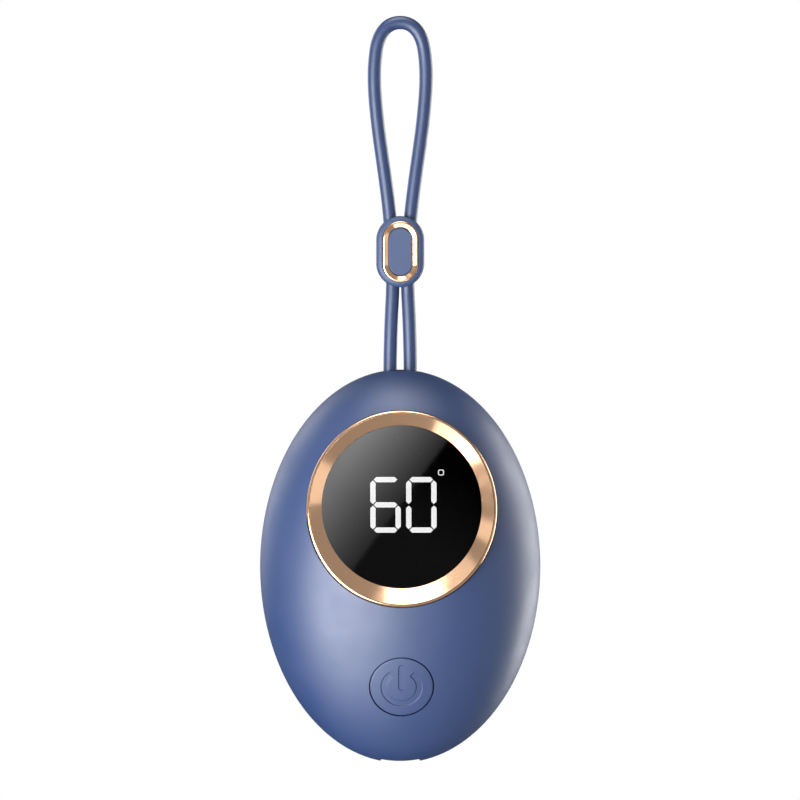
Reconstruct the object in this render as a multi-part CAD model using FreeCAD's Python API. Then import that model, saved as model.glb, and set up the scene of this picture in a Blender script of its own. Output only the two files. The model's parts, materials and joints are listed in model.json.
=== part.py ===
import FreeCAD, Part
import math
import os

Vec = FreeCAD.Vector

# Rechargeable hand warmer, in millimetres. It hangs from its cord: the origin is the inner top of the
# cord's loop, +Z is up and the display faces -Y. The pieces of the case are drawn about the middle of
# the case and then lowered by case_drop.

# Case: an egg flattened from front to back, split in the plane of its widest outline
case_width = 67.0
case_height = 94.0
front_depth = 26.0
rear_depth = 19.0
wall = 2.0
front_power = 2.0
rear_power = 2.8
dome_sections = 8
front_crown_share = 0.1532
rear_crown_share = 0.04255
crown_flat_share = 0.3582
rest_land_share = 0.50746
cut_reach = 4.0
lap_height = 1.2
lap_fit = 0.05
seam_width = 0.3
seam_depth = 0.4

# Display: bevelled ring, smoked window and light bars, round the crown of the front dome. They are drawn
# about the middle of the ring's rim, with +Y going into the case, and leaned back to follow the dome.
ring_width_share = 0.6735
ring_height_share = 0.499
ring_stand = 0.8
ring_fit = 0.1
rim_land = 0.7
rim_round = 0.6
bevel_depth = 2.0
bevel_side = 3.57
bevel_top = 3.35
bevel_bottom = 4.65
lip_thickness = 0.3
lens_overlap = 0.9
lens_fit = 0.1
lens_thickness = 1.5
gasket_width = 2.0
gasket_thickness = 0.4
well_wall = 1.6
ledge_thickness = 2.0
module_width_share = 0.69
module_height_share = 0.54
module_gap = 0.1
display_board_inset = 0.75

# Digits of the display. The shares are of the window's smaller side.
digit_width_share = 0.1898
digit_height_share = 0.349
digit_pitch_share = 0.2235
digit_rise_share = 0.0332
digits_shift_share = 0.0117
bar_stroke_share = 0.0325
bar_gap = 0.2
bar_depth = 0.5
degree_size_share = 0.0365
degree_line_share = 0.0052
degree_corner_share = 0.0115
degree_shift_share = 0.2468
degree_rise_share = 0.236

# Power button and its switch
button_diameter = 15.0
button_gap = 0.25
button_drop_share = 0.3
button_lip = 2.4
button_play = 0.05
flange_overhang = 1.1
flange_thickness = 1.0
flange_fit = 0.3
stem_radius = 1.6
stem_length = 1.15
symbol_radius = 4.2
symbol_stroke = 1.4
symbol_depth = 0.25
symbol_opening = 36.0
symbol_bar_top = 5.7
button_travel = 0.5
plunger_radius = 1.6
plunger_fit = 0.1
plunger_stand = 0.95
plunger_root = 1.0
switch_size = 6.0
switch_height = 2.6
button_well_wall = 2.2

# Boards, cell and heater
board_thickness = 1.2
main_board_side_gap = 6.5
main_board_top = 8.0
main_board_bottom_gap = 14.0
board_screw_inset = 2.0
board_screw_rise = 9.0
socket_tongue_width = 13.0
socket_tongue_gap = 4.5
frame_thickness = 1.6
frame_side_gap = 10.0
frame_top_drop = 2.2
frame_bottom_gap = 20.0
post_radius = 2.6
post_inset = 3.0
post_bite = 2.4
battery_side_gap = 6.5
battery_top_drop = 1.2
battery_bottom_gap = 23.0
pad_thickness = 2.5
battery_round = 1.5
spreader_inset = 0.6
spreader_thickness = 0.8
film_inset = 1.0
film_thickness = 0.3
film_tail_width = 6.0
film_tail_reach = 2.3
thermistor_radius = 0.9
thermistor_length = 3.0
thermistor_room = 0.2
chip_size = 7.0
chip_height = 1.0
chip_shift = -7.0
chip_rise = 16.0
inductor_size = 5.0
inductor_height = 3.0
inductor_shift = 5.0
inductor_rise = 5.0
capacitor_radius = 1.6
capacitor_height = 2.6
capacitor_pitch = 4.6
capacitor_count = 3
capacitor_inset = 3.2
capacitor_rise = 15.6
display_lead_count = 4
display_lead_inset = 8.5
plug_width = 7.0
plug_height = 6.0
plug_depth = 5.0
plug_gap = 1.0

# Charging socket
socket_width = 8.94
socket_height = 3.26
socket_wall = 0.3
socket_length = 7.3
socket_recess = 1.0
socket_fit = 0.15
socket_floor = 1.2
blade_width = 6.69
blade_thickness = 0.7
blade_length = 4.5
mouth_width = 9.4
mouth_height = 7.4
mouth_depth = 1.0
mouth_corner = 0.8

# Small screws
screw_radius = 0.6
screw_head_radius = 1.4
screw_head_height = 0.8
screw_slot_width = 0.35
screw_slot_length = 1.7
screw_slot_depth = 0.4
screw_bite = 1.2
screw_fit = 0.05
screw_hole_room = 0.3

# Wires inside the case
lead_diameter = 1.4
lead_pitch = 3.0
lead_climb = 6.0
lead_front = -0.9
arc_share = 0.45

# Cord and its anchor in the case
cord_diameter = 3.2
cord_hole_fit = 0.15
anchor_width = 11.0
anchor_depth = 5.2
anchor_height = 5.0
anchor_play = 0.2
anchor_shelf = 1.5
anchor_round = 1.5
cord_leg_spread = 4.84
cord_drop = 81.3
cord_half_route = [
    (2.35, 1.6),
    (5.3, -1.9),
    (6.2, -8.4),
    (6.15, -15.0),
    (5.2, -24.4),
    (3.65, -35.0),
    (2.45, -44.6),
    (1.95, -53.0),
    (1.72, -61.0),
    (2.1, -68.2),
    (2.36, -76.2),
]

# Slider bead on the cord
slider_width = 11.4
slider_height = 17.0
slider_depth = 7.2
slider_centre = -53.1
slider_round = 1.3
slider_passage_width = 8.7
slider_passage_depth = 3.8
trim_width = 8.5
trim_height = 14.6
trim_band = 1.4
trim_sink = 0.8
trim_stand = 0.3
trim_bevel = 0.55
trim_rim = 0.45
trim_fit = 0.02

# Places that follow from the sizes above. The gaps of the inner pieces are from the outline of the case.
case_top = case_height / 2
case_bottom = -case_height / 2
case_drop = cord_drop + case_top
front_crown_rise = case_height * front_crown_share
rear_crown_rise = case_height * rear_crown_share
ring_width = case_width * ring_width_share
ring_height = case_height * ring_height_share
window_width = ring_width - 2 * bevel_side
window_height = ring_height - bevel_top - bevel_bottom
window_rise = (bevel_bottom - bevel_top) / 2
opening_half_width = window_width / 2 + lens_overlap - gasket_width
opening_half_height = window_height / 2 + lens_overlap - gasket_width
module_width = 2 * opening_half_width * module_width_share
module_height = 2 * opening_half_height * module_height_share
window_side = min(window_width, window_height)
digit_width = window_side * digit_width_share
digit_height = window_side * digit_height_share
digit_pitch = window_side * digit_pitch_share
digit_rise = window_side * digit_rise_share
digits_shift = window_side * digits_shift_share
bar_stroke = window_side * bar_stroke_share
degree_size = window_side * degree_size_share
degree_line = window_side * degree_line_share
degree_corner = window_side * degree_corner_share
degree_shift = window_side * degree_shift_share
degree_rise = window_side * degree_rise_share
button_drop = case_height * button_drop_share
film_inset_all = spreader_inset + film_inset
film_top = (case_top - wall) * rest_land_share - film_inset_all + rear_crown_rise * (1 - rest_land_share)
film_tail_top = film_top + film_tail_reach
plug_shift = (plug_width + plug_gap) / 2
frame_width = case_width - 2 * frame_side_gap
frame_top = film_top - frame_top_drop
frame_bottom = case_bottom + frame_bottom_gap
post_spread = frame_width - 2 * post_inset
post_rise = 2 * (frame_top - post_inset)
main_board_width = frame_width - 2 * main_board_side_gap
main_board_bottom = case_bottom + main_board_bottom_gap
socket_tongue_bottom = case_bottom + socket_tongue_gap
battery_width = frame_width - 2 * battery_side_gap
battery_top = film_top - battery_top_drop
battery_bottom = case_bottom + battery_bottom_gap
capacitor_shift = main_board_width / 2 - capacitor_inset
display_lead_drop = ring_height / 2 - display_lead_inset
socket_inner_width = socket_width - 2 * socket_wall
socket_inner_height = socket_height - 2 * socket_wall
lens_front = bevel_depth + lip_thickness
lens_back = lens_front + lens_thickness
ledge_front = lens_back + gasket_thickness
ledge_back = ledge_front + ledge_thickness
module_front = lens_back + module_gap
display_board_back = ledge_back + board_thickness
board_front = socket_height / 2
board_back = board_front + board_thickness
frame_back = board_back + frame_thickness
button_radius = button_diameter / 2
button_hole = button_radius + button_gap
flange_radius = button_radius + flange_overhang
well_radius = flange_radius + flange_fit
flange_front = button_lip + button_play
stem_end = flange_front + flange_thickness + stem_length
plunger_front = stem_end + button_play
switch_front = plunger_front + plunger_stand
button_board_front = switch_front + switch_height
button_board_back = button_board_front + board_thickness


def dome_rise(share, power):
    """Height of a dome, as a share of its depth, where its section is this share of full size."""
    return (1 - share ** power) ** (1 / power)


def front_fall(half_height, reach):
    """How far the front dome falls away on its upright middle line, this far out of the reach to its end."""
    return front_depth * (1 - dome_rise(half_height / reach, front_power))


land_inner_y = (rear_depth - wall) * dome_rise(rest_land_share, rear_power)
spreader_front = land_inner_y - spreader_thickness
film_front = spreader_front - film_thickness
battery_back = film_front - pad_thickness

# How far the front dome falls away at the top and the bottom of the ring, and the lean that evens it out
ring_top_drop = front_fall(ring_height / 2, case_top - front_crown_rise)
ring_bottom_drop = front_fall(ring_height / 2, case_top + front_crown_rise)
display_lean = math.atan((ring_top_drop - ring_bottom_drop) / ring_height)
display_depth = front_depth - (ring_top_drop + ring_bottom_drop) / 2 + ring_stand
display_place = Vec(0, -display_depth, front_crown_rise)
display_inward = Vec(0, math.cos(display_lean), -math.sin(display_lean))

# Where the button sits on the dome, and how the dome leans there
button_share = (front_crown_rise + button_drop) / (front_crown_rise + case_top)
button_rise = dome_rise(button_share, front_power)
button_surface = front_depth * button_rise
button_steepness = (button_share / button_rise) ** (front_power - 1)
button_lean = math.atan(button_steepness * front_depth / (front_crown_rise + case_top))
button_place = Vec(0, -button_surface, -button_drop)
button_inward = Vec(0, math.cos(button_lean), math.sin(button_lean))


def oval_wire(half_width, half_height, y, z):
    """Ellipse facing along Y."""
    centre = Vec(0, y, z)
    ends = [Vec(0, 0, half_height), Vec(half_width, 0, 0)]
    ends.sort(key=lambda end: end.Length, reverse=True)
    return Part.Wire(Part.Ellipse(centre + ends[0], centre + ends[1], centre).toShape())


def oval(half_width, half_height, y_from, y_to, z=0.0):
    """Elliptical slab between two depths."""
    face = Part.Face(oval_wire(half_width, half_height, y_from, z))
    return face.extrude(Vec(0, y_to - y_from, 0))


def rod(radius, y_from, y_to, x=0.0, z=0.0):
    """Round bar along Y."""
    return Part.makeCylinder(radius, y_to - y_from, Vec(x, y_from, z), Vec(0, 1, 0))


def block(x_from, x_to, y_from, y_to, z_from, z_to):
    return Part.makeBox(x_to - x_from, y_to - y_from, z_to - z_from, Vec(x_from, y_from, z_from))


def stadium_wire(width, height, y, z):
    """Upright slot outline facing along Y: two straight sides and two half circles."""
    radius = width / 2
    straight = height / 2 - radius
    corner = [Vec(-radius, y, z - straight), Vec(-radius, y, z + straight)]
    corner += [Vec(radius, y, z + straight), Vec(radius, y, z - straight)]
    top = Vec(0, y, z + straight + radius)
    bottom = Vec(0, y, z - straight - radius)
    edges = [
        Part.LineSegment(corner[0], corner[1]).toShape(),
        Part.Arc(corner[1], top, corner[2]).toShape(),
        Part.LineSegment(corner[2], corner[3]).toShape(),
        Part.Arc(corner[3], bottom, corner[0]).toShape(),
    ]
    return Part.Wire(edges)


def stadium(width, height, y_from, y_to, z):
    return Part.Face(stadium_wire(width, height, y_from, z)).extrude(Vec(0, y_to - y_from, 0))


def flat_slot(width, height, z_from, z_to):
    """Lying slot along Z, as wide in X as width and as deep in Y as height."""
    upright = stadium(height, width, 0, z_to - z_from, 0)
    upright.rotate(Vec(0, 0, 0), Vec(1, 0, 0), 90)
    upright.rotate(Vec(0, 0, 0), Vec(0, 0, 1), 90)
    upright.translate(Vec(0, 0, z_from))
    return upright


def mirrored_spots(spread, rise):
    """Four spots about the middle, given the distances between them."""
    return [(x * spread / 2, z * rise / 2) for x in (-1, 1) for z in (-1, 1)]


def round_edges(shape, radius, wanted):
    return shape.makeFillet(radius, [edge for edge in shape.Edges if wanted(edge.BoundBox)])


def egg(width, height, front, rear):
    """Case-shaped solid: ellipses that shrink towards both domes, cut flat at their ends."""
    wires = []
    for step in range(-dome_sections, dome_sections + 1):
        if step < 0:
            end_share, depth, power, crown_rise = crown_flat_share, -front, front_power, front_crown_rise
        else:
            end_share, depth, power, crown_rise = rest_land_share, rear, rear_power, rear_crown_rise
        angle = math.acos(end_share ** (power / 2)) * abs(step) / dome_sections
        share = math.cos(angle) ** (2 / power)
        y = depth * math.sin(angle) ** (2 / power)
        wires.append(oval_wire(width / 2 * share, height / 2 * share, y, crown_rise * (1 - share)))
    return Part.makeLoft(wires, True, False)


def rounded_path(points):
    """Straight runs joined by tangent arcs, each as large as its two runs allow."""
    edges = []
    radii = []
    start = points[0]
    for before, corner, after in zip(points, points[1:], points[2:]):
        reach = arc_share * min((corner - before).Length, (after - corner).Length)
        into = (corner - before).normalize()
        onward = (after - corner).normalize()
        half_turn = into.getAngle(onward) / 2
        radius = reach / math.tan(half_turn)
        radii.append(radius)
        arc_start = corner - into * reach
        arc_end = corner + onward * reach
        inward = (onward - into).normalize()
        arc_middle = corner + inward * (radius * (1 / math.cos(half_turn) - 1))
        edges.append(Part.LineSegment(start, arc_start).toShape())
        edges.append(Part.Arc(arc_start, arc_middle, arc_end).toShape())
        start = arc_end
    edges.append(Part.LineSegment(start, points[-1]).toShape())
    return Part.Wire(edges), radii


def tube(points, diameter):
    path, radii = rounded_path(points)
    ring = Part.Wire(Part.Circle(points[0], points[1] - points[0], diameter / 2).toShape())
    return path.makePipeShell([ring], True, False), path.Length, radii


def screw(x, z, bearing, way, bite):
    """Cross-slot screw whose head bears on a face at depth bearing; way +1 drives it towards +Y."""
    head_end = bearing - way * screw_head_height
    head = rod(screw_head_radius, min(bearing, head_end), max(bearing, head_end), x, z)
    shank_end = bearing + way * bite
    shank = rod(screw_radius, min(bearing, shank_end), max(bearing, shank_end), x, z)
    slot_floor = head_end + way * screw_slot_depth
    low, high = min(head_end, slot_floor), max(head_end, slot_floor)
    long_half = screw_slot_length / 2
    slim_half = screw_slot_width / 2
    cross = block(x - long_half, x + long_half, low, high, z - slim_half, z + slim_half)
    cross = cross.fuse(block(x - slim_half, x + slim_half, low, high, z - long_half, z + long_half))
    return head.fuse(shank).cut(cross)


def pilot_hole(x, z, bearing, way, bite):
    """Hole that a screw's thread bites into, a little longer than the thread."""
    end = bearing + way * (bite + screw_hole_room)
    return rod(screw_radius + screw_fit, min(bearing, end), max(bearing, end), x, z)


def seat(shape, lean, place):
    """Move a piece drawn about the origin, with +Y going into the case, to its place on the dome."""
    seated = shape.copy()
    seated.rotate(Vec(0, 0, 0), Vec(1, 0, 0), math.degrees(lean))
    seated.translate(place)
    return seated


def seat_button(shape):
    return seat(shape, button_lean, button_place)


def seat_display(shape):
    return seat(shape, -display_lean, display_place)


# Screw spots
display_screw_angles = (90, 210, 330)
display_screw_reach = (opening_half_width + ring_width / 2) / 2
display_screw_climb = (opening_half_height + ring_height / 2) / 2
button_screw_reach = well_radius + button_well_wall / 2


def display_screw_spots():
    spots = []
    for angle in display_screw_angles:
        turn = math.radians(angle)
        spots.append((display_screw_reach * math.cos(turn), display_screw_climb * math.sin(turn)))
    return spots


def board_screw_spots():
    x = main_board_width / 2 - board_screw_inset
    high = main_board_top - board_screw_inset
    low = main_board_bottom + board_screw_rise
    return [(side * x, z) for side in (-1, 1) for z in (high, low)]


def cord_leg_holes():
    """Two holes in the top of the case, in the parting plane, for the legs of the cord."""
    radius = cord_diameter / 2 + cord_hole_fit
    holes = []
    for side in (-1, 1):
        foot = Vec(side * cord_leg_spread / 2, 0, anchor_top())
        holes.append(Part.makeCylinder(radius, case_top - anchor_top() + cut_reach, foot, Vec(0, 0, 1)))
    return holes


def anchor_top():
    """Top of the anchor, just below the inner wall where the anchor is widest."""
    inner_half_width = case_width / 2 - wall
    inner_half_height = case_height / 2 - wall
    share = anchor_width / 2 / inner_half_width
    return inner_half_height * math.sqrt(1 - share ** 2) - anchor_play


def socket_mouth_cuts():
    """Slot for the charging socket and the shallow flat round it, in the bottom of the case."""
    slot = flat_slot(socket_width + 2 * socket_fit, socket_height + 2 * socket_fit,
                     case_bottom - cut_reach, case_bottom + wall + cut_reach)
    mouth = block(-mouth_width / 2, mouth_width / 2, -mouth_height / 2, mouth_height / 2,
                  case_bottom - cut_reach, case_bottom + mouth_depth)
    mouth = round_edges(mouth, mouth_corner, lambda box: box.ZLength > cut_reach)
    return [slot, mouth]


def shell_halves():
    outer = egg(case_width, case_height, front_depth, rear_depth)
    inner = egg(case_width - 2 * wall, case_height - 2 * wall, front_depth - wall, rear_depth - wall)
    hull = outer.cut(inner)
    reach = case_height
    seam_ring = oval(case_width, case_height, -seam_width / 2, seam_width / 2)
    seam_ring = seam_ring.cut(oval(case_width / 2 - seam_depth, case_height / 2 - seam_depth,
                                   -seam_width / 2, seam_width / 2))
    hull = hull.cut(seam_ring)
    front = hull.common(block(-reach, reach, -reach, 0, -reach, reach))
    rear = hull.common(block(-reach, reach, 0, reach, -reach, reach))
    half_wall = wall / 2
    lap_inset = half_wall + lap_fit
    lap_outer = oval(case_width / 2 - lap_inset, case_height / 2 - lap_inset, -lap_height, 0)
    lap = lap_outer.cut(oval(case_width / 2 - wall, case_height / 2 - wall, -lap_height, 0))
    rebate = oval(case_width / 2 - half_wall, case_height / 2 - half_wall, -lap_height - lap_fit, 0)
    return outer, front.cut(rebate), rear.fuse(lap)


def make_front_shell(outer, front):
    half_width, half_height = ring_width / 2 + ring_fit, ring_height / 2 + ring_fit
    well = seat_display(oval(half_width + well_wall, half_height + well_wall, 0, ledge_back))
    front = front.fuse(well.common(outer))
    cuts = [oval(half_width, half_height, display_depth - front_depth - cut_reach, ledge_front)]
    cuts.append(oval(opening_half_width, opening_half_height, 0, ledge_back + cut_reach, window_rise))
    cuts += [pilot_hole(x, z, ledge_back, -1, screw_bite) for x, z in display_screw_spots()]
    front = front.cut([seat_display(cut) for cut in cuts])
    tower = seat_button(rod(well_radius + button_well_wall, -cut_reach, button_board_front)).common(outer)
    front = front.fuse(tower)
    front = front.cut(seat_button(rod(button_hole, -cut_reach, button_board_front)))
    front = front.cut(seat_button(rod(well_radius, button_lip, button_board_front + cut_reach)))
    for side in (-1, 1):
        hole = pilot_hole(side * button_screw_reach, 0, button_board_front, -1, screw_bite)
        front = front.cut(seat_button(hole))
    return front.cut(cord_leg_holes() + socket_mouth_cuts()).removeSplitter()


def make_rear_shell(outer, rear):
    for x, z in mirrored_spots(post_spread, post_rise):
        post = rod(post_radius, frame_back, rear_depth, x, z).common(outer)
        rear = rear.fuse(post).cut(pilot_hole(x, z, frame_back, 1, post_bite))
    shelf_top = anchor_top() - anchor_height
    half = anchor_width / 2
    shelf = block(-half, half, lap_fit, rear_depth, shelf_top - anchor_shelf, shelf_top)
    rear = rear.fuse(shelf.common(outer))
    return rear.cut(cord_leg_holes() + socket_mouth_cuts()).removeSplitter()


def make_bezel_ring():
    ring = oval(ring_width / 2, ring_height / 2, 0, ledge_front)
    bevel_wires = [
        oval_wire(ring_width / 2 - rim_land, ring_height / 2 - rim_land, 0, 0),
        oval_wire(window_width / 2, window_height / 2, bevel_depth, window_rise),
    ]
    ring = ring.cut(Part.makeLoft(bevel_wires, True, True))
    ring = ring.cut(oval(window_width / 2, window_height / 2, bevel_depth / 2, ledge_front, window_rise))
    pocket_grow = lens_overlap + lens_fit
    ring = ring.cut(oval(window_width / 2 + pocket_grow, window_height / 2 + pocket_grow,
                         lens_front, ledge_front, window_rise))
    widest = ring_width - rim_land
    rim = round_edges(ring, rim_round, lambda box: box.YMax < bevel_depth / 10 and box.XLength > widest)
    return seat_display(rim)


def make_display_lens():
    half_width = window_width / 2 + lens_overlap
    half_height = window_height / 2 + lens_overlap
    return seat_display(oval(half_width, half_height, lens_front, lens_back, window_rise))


def make_lens_gasket():
    half_width = window_width / 2 + lens_overlap
    half_height = window_height / 2 + lens_overlap
    outer = oval(half_width, half_height, lens_back, ledge_front, window_rise)
    inner = oval(opening_half_width, opening_half_height, lens_back, ledge_front, window_rise)
    return seat_display(outer.cut(inner))


def light_bar(start, end):
    """Six-sided bar with pointed ends between two corners of a digit, given as (x, z)."""
    length = math.hypot(end[0] - start[0], end[1] - start[1])
    along = ((end[0] - start[0]) / length, (end[1] - start[1]) / length)
    half = bar_stroke / 2
    outline = []
    for reach, lift in ((bar_gap, 0), (bar_gap + half, half), (length - bar_gap - half, half),
                        (length - bar_gap, 0), (length - bar_gap - half, -half), (bar_gap + half, -half)):
        x = start[0] + along[0] * reach - along[1] * lift
        z = start[1] + along[1] * reach + along[0] * lift
        outline.append(Vec(x, module_front, z))
    return Part.Face(Part.makePolygon(outline + outline[:1])).extrude(Vec(0, bar_depth, 0))


def digit_bars(shift):
    """The seven bars of one digit: top, both upper sides, middle, both lower sides, bottom."""
    half_width = (digit_width - bar_stroke) / 2
    half_height = (digit_height - bar_stroke) / 2
    middle = digit_rise
    left, right = shift - half_width, shift + half_width
    top, bottom = middle + half_height, middle - half_height
    return {
        "top": light_bar((left, top), (right, top)),
        "upper_left": light_bar((left, middle), (left, top)),
        "upper_right": light_bar((right, middle), (right, top)),
        "middle": light_bar((left, middle), (right, middle)),
        "lower_left": light_bar((left, bottom), (left, middle)),
        "lower_right": light_bar((right, bottom), (right, middle)),
        "bottom": light_bar((left, bottom), (right, bottom)),
    }


def degree_pad(size, corner):
    """Square pad with rounded corners, at the place of the degree sign."""
    half = size / 2
    pad = block(degree_shift - half, degree_shift + half, module_front, module_front + bar_depth,
                degree_rise - half, degree_rise + half)
    return round_edges(pad, corner, lambda box: box.YLength > bar_depth / 2)


def degree_ring():
    ring = degree_pad(degree_size, degree_corner)
    return ring.cut(degree_pad(degree_size - 2 * degree_line, degree_corner - degree_line))


def make_segments():
    """Light bars of a six and a nought with a degree ring, lit and unlit."""
    six = digit_bars(digits_shift - digit_pitch / 2)
    nought = digit_bars(digits_shift + digit_pitch / 2)
    unlit = [six.pop("upper_right"), nought.pop("middle")]
    lit = list(six.values()) + list(nought.values()) + [degree_ring()]
    return lit, unlit


def make_display_module(bars):
    z = window_rise
    body = block(-module_width / 2, module_width / 2, module_front, ledge_back,
                 z - module_height / 2, z + module_height / 2)
    return seat_display(body.cut(bars))


def make_display_board():
    board = oval(ring_width / 2 - display_board_inset, ring_height / 2 - display_board_inset,
                 ledge_back, display_board_back)
    for x, z in display_screw_spots():
        board = board.cut(rod(screw_radius + screw_fit, ledge_back, display_board_back, x, z))
    return seat_display(board)


def make_display_screws():
    bite = board_thickness + screw_bite
    return [seat_display(screw(x, z, display_board_back, -1, bite)) for x, z in display_screw_spots()]


def power_symbol():
    """Ring open at the top with an upright bar in the gap, drawn along Y through the cap."""
    outer = symbol_radius + symbol_stroke / 2
    deep = (-button_lip, button_lip)
    ring = rod(outer, *deep).cut(rod(symbol_radius - symbol_stroke / 2, *deep))
    lean = math.tan(math.radians(symbol_opening)) * button_radius
    corners = [Vec(0, deep[0], 0), Vec(-lean, deep[0], button_radius), Vec(lean, deep[0], button_radius)]
    gap = Part.Face(Part.makePolygon(corners + corners[:1])).extrude(Vec(0, deep[1] - deep[0], 0))
    half = symbol_stroke / 2
    bar = block(-half, half, deep[0], deep[1], 0, symbol_bar_top - half)
    bar = bar.fuse([rod(half, *deep), rod(half, *deep, z=symbol_bar_top - half)])
    return ring.cut(gap).fuse(bar)


def make_power_button(outer):
    cap = seat_button(rod(button_radius, -cut_reach, flange_front)).common(outer)
    sunk = outer.copy()
    sunk.translate(button_inward * symbol_depth)
    cap = cap.cut(seat_button(power_symbol()).cut(sunk))
    flange = rod(flange_radius, flange_front, flange_front + flange_thickness)
    stem = rod(stem_radius, flange_front + flange_thickness, stem_end)
    return cap.fuse([seat_button(flange), seat_button(stem)]).removeSplitter()


def make_switch():
    half = switch_size / 2
    body = block(-half, half, switch_front, button_board_front, -half, half)
    plunger_end = switch_front + plunger_root
    bore_end = plunger_end + button_travel + plunger_fit
    body = body.cut(rod(plunger_radius + plunger_fit, switch_front, bore_end))
    plunger = rod(plunger_radius, plunger_front, plunger_end)
    return seat_button(body), seat_button(plunger)


def make_button_board():
    board = rod(well_radius + button_well_wall, button_board_front, button_board_back)
    screws = []
    for side in (-1, 1):
        x = side * button_screw_reach
        board = board.cut(rod(screw_radius + screw_fit, button_board_front, button_board_back, x))
        screws.append(seat_button(screw(x, 0, button_board_back, -1, board_thickness + screw_bite)))
    return seat_button(board), screws


def bridge_lead(start, inward):
    """Wire from the back of a leaning board to the front of the main board, bent once half way."""
    bend = start + inward * ((board_front - start.y) / 2 / inward.y)
    return tube([start, bend, Vec(bend.x, board_front, bend.z)], lead_diameter)[0]


def row_of_leads(count):
    """Places of wires side by side about the middle."""
    return [(i - (count - 1) / 2) * lead_pitch for i in range(count)]


def make_button_leads():
    back = button_place + button_inward * button_board_back
    return [bridge_lead(back + Vec(x, 0, 0), button_inward) for x in row_of_leads(2)]


def make_display_leads():
    down = Vec(0, -math.sin(display_lean), -math.cos(display_lean))
    back = display_place + display_inward * display_board_back + down * display_lead_drop
    return [bridge_lead(back + Vec(x, 0, 0), display_inward) for x in row_of_leads(display_lead_count)]


def make_main_board():
    half = main_board_width / 2
    board = block(-half, half, board_front, board_back, main_board_bottom, main_board_top)
    tongue_half = socket_tongue_width / 2
    tongue = block(-tongue_half, tongue_half, board_front, board_back,
                   socket_tongue_bottom, main_board_bottom)
    board = board.fuse(tongue).removeSplitter()
    for x, z in board_screw_spots():
        board = board.cut(rod(screw_radius + screw_fit, board_front, board_back, x, z))
    return board


def on_board(width, height, tall, x, z):
    """Rectangular component standing on the front of the main board."""
    top = board_front - tall
    return block(x - width / 2, x + width / 2, top, board_front, z - height / 2, z + height / 2)


def make_components():
    chip = on_board(chip_size, chip_size, chip_height, chip_shift, main_board_bottom + chip_rise)
    inductor = on_board(inductor_size, inductor_size, inductor_height,
                        inductor_shift, main_board_bottom + inductor_rise)
    capacitors = []
    for i in range(capacitor_count):
        z = main_board_bottom + capacitor_rise + capacitor_pitch * i
        top = board_front - capacitor_height
        capacitors.append(rod(capacitor_radius, top, board_front, capacitor_shift, z))
    return chip, inductor, capacitors


def make_usb_shell():
    low = case_bottom + socket_recess
    shell = flat_slot(socket_width, socket_height, low, low + socket_length)
    return shell.cut(flat_slot(socket_inner_width, socket_inner_height, low, low + socket_length))


def make_usb_tongue():
    high = case_bottom + socket_recess + socket_length
    base = flat_slot(socket_inner_width, socket_inner_height, high - socket_floor, high)
    blade = block(-blade_width / 2, blade_width / 2, -blade_thickness / 2, blade_thickness / 2,
                  high - socket_floor - blade_length, high - socket_floor)
    return base.fuse(blade).removeSplitter()


def make_mid_frame():
    frame = block(-frame_width / 2, frame_width / 2, board_back, frame_back, frame_bottom, frame_top)
    for x, z in mirrored_spots(post_spread, post_rise):
        frame = frame.cut(rod(screw_radius + screw_fit, board_back, frame_back, x, z))
    for x, z in board_screw_spots():
        frame = frame.cut(pilot_hole(x, z, board_back, 1, screw_bite))
    return frame


def make_frame_screws():
    bite = frame_thickness + post_bite
    return [screw(x, z, board_back, 1, bite) for x, z in mirrored_spots(post_spread, post_rise)]


def make_board_screws():
    return [screw(x, z, board_front, 1, board_thickness + screw_bite) for x, z in board_screw_spots()]


def make_battery_cell():
    half = battery_width / 2
    cell = block(-half, half, frame_back, battery_back, battery_bottom, battery_top)
    uprights = [edge for edge in cell.Edges if edge.BoundBox.ZLength > battery_width / 2]
    return cell.makeFillet(battery_round, uprights)


def land_oval(inset):
    """Half sizes and rise of an oval on the inside of the rear land, drawn in by inset."""
    half_width = (case_width / 2 - wall) * rest_land_share - inset
    half_height = (case_top - wall) * rest_land_share - inset
    return half_width, half_height, rear_crown_rise * (1 - rest_land_share)


def make_heater():
    """Spreader plate on the rear land, heater film on it and a bead that reads its temperature."""
    half_width, half_height, rise = land_oval(spreader_inset)
    spreader = oval(half_width, half_height, spreader_front, land_inner_y, rise)
    half_width, half_height, rise = land_oval(film_inset_all)
    film = oval(half_width, half_height, film_front, spreader_front, rise)
    tail_low = plug_shift - film_tail_width / 2
    tail_high = tail_low + film_tail_width
    film = film.fuse(block(tail_low, tail_high, film_front, spreader_front, rise, film_tail_top))
    bead_start = Vec(-thermistor_length / 2, film_front - thermistor_radius, 0)
    bead = Part.makeCylinder(thermistor_radius, thermistor_length, bead_start, Vec(1, 0, 0))
    return spreader, film.removeSplitter(), bead


def make_insulation_pad():
    half_width, half_height, rise = land_oval(film_inset_all)
    pad = oval(half_width, half_height, battery_back, film_front, rise)
    room = thermistor_radius + thermistor_room
    reach = thermistor_length / 2 + thermistor_room
    return pad.cut(block(-reach, reach, film_front - 2 * room, film_front, -room, room))


def make_plug(shift):
    """Small wire connector on the main board, its top level with the board's top edge."""
    return on_board(plug_width, plug_height, plug_depth, shift, main_board_top - plug_height / 2)


def make_battery_leads():
    """Two wires from the top of the cell, over the frame and down to their plug."""
    middle = (frame_back + battery_back) / 2
    leads = []
    for side in (-1, 1):
        x = side * lead_pitch / 2 - plug_shift
        high = battery_top + lead_climb
        points = [Vec(x, middle, battery_top), Vec(x, middle, high), Vec(x, lead_front, high),
                  Vec(x, lead_front, main_board_top)]
        leads.append(tube(points, lead_diameter)[0])
    return leads


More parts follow.
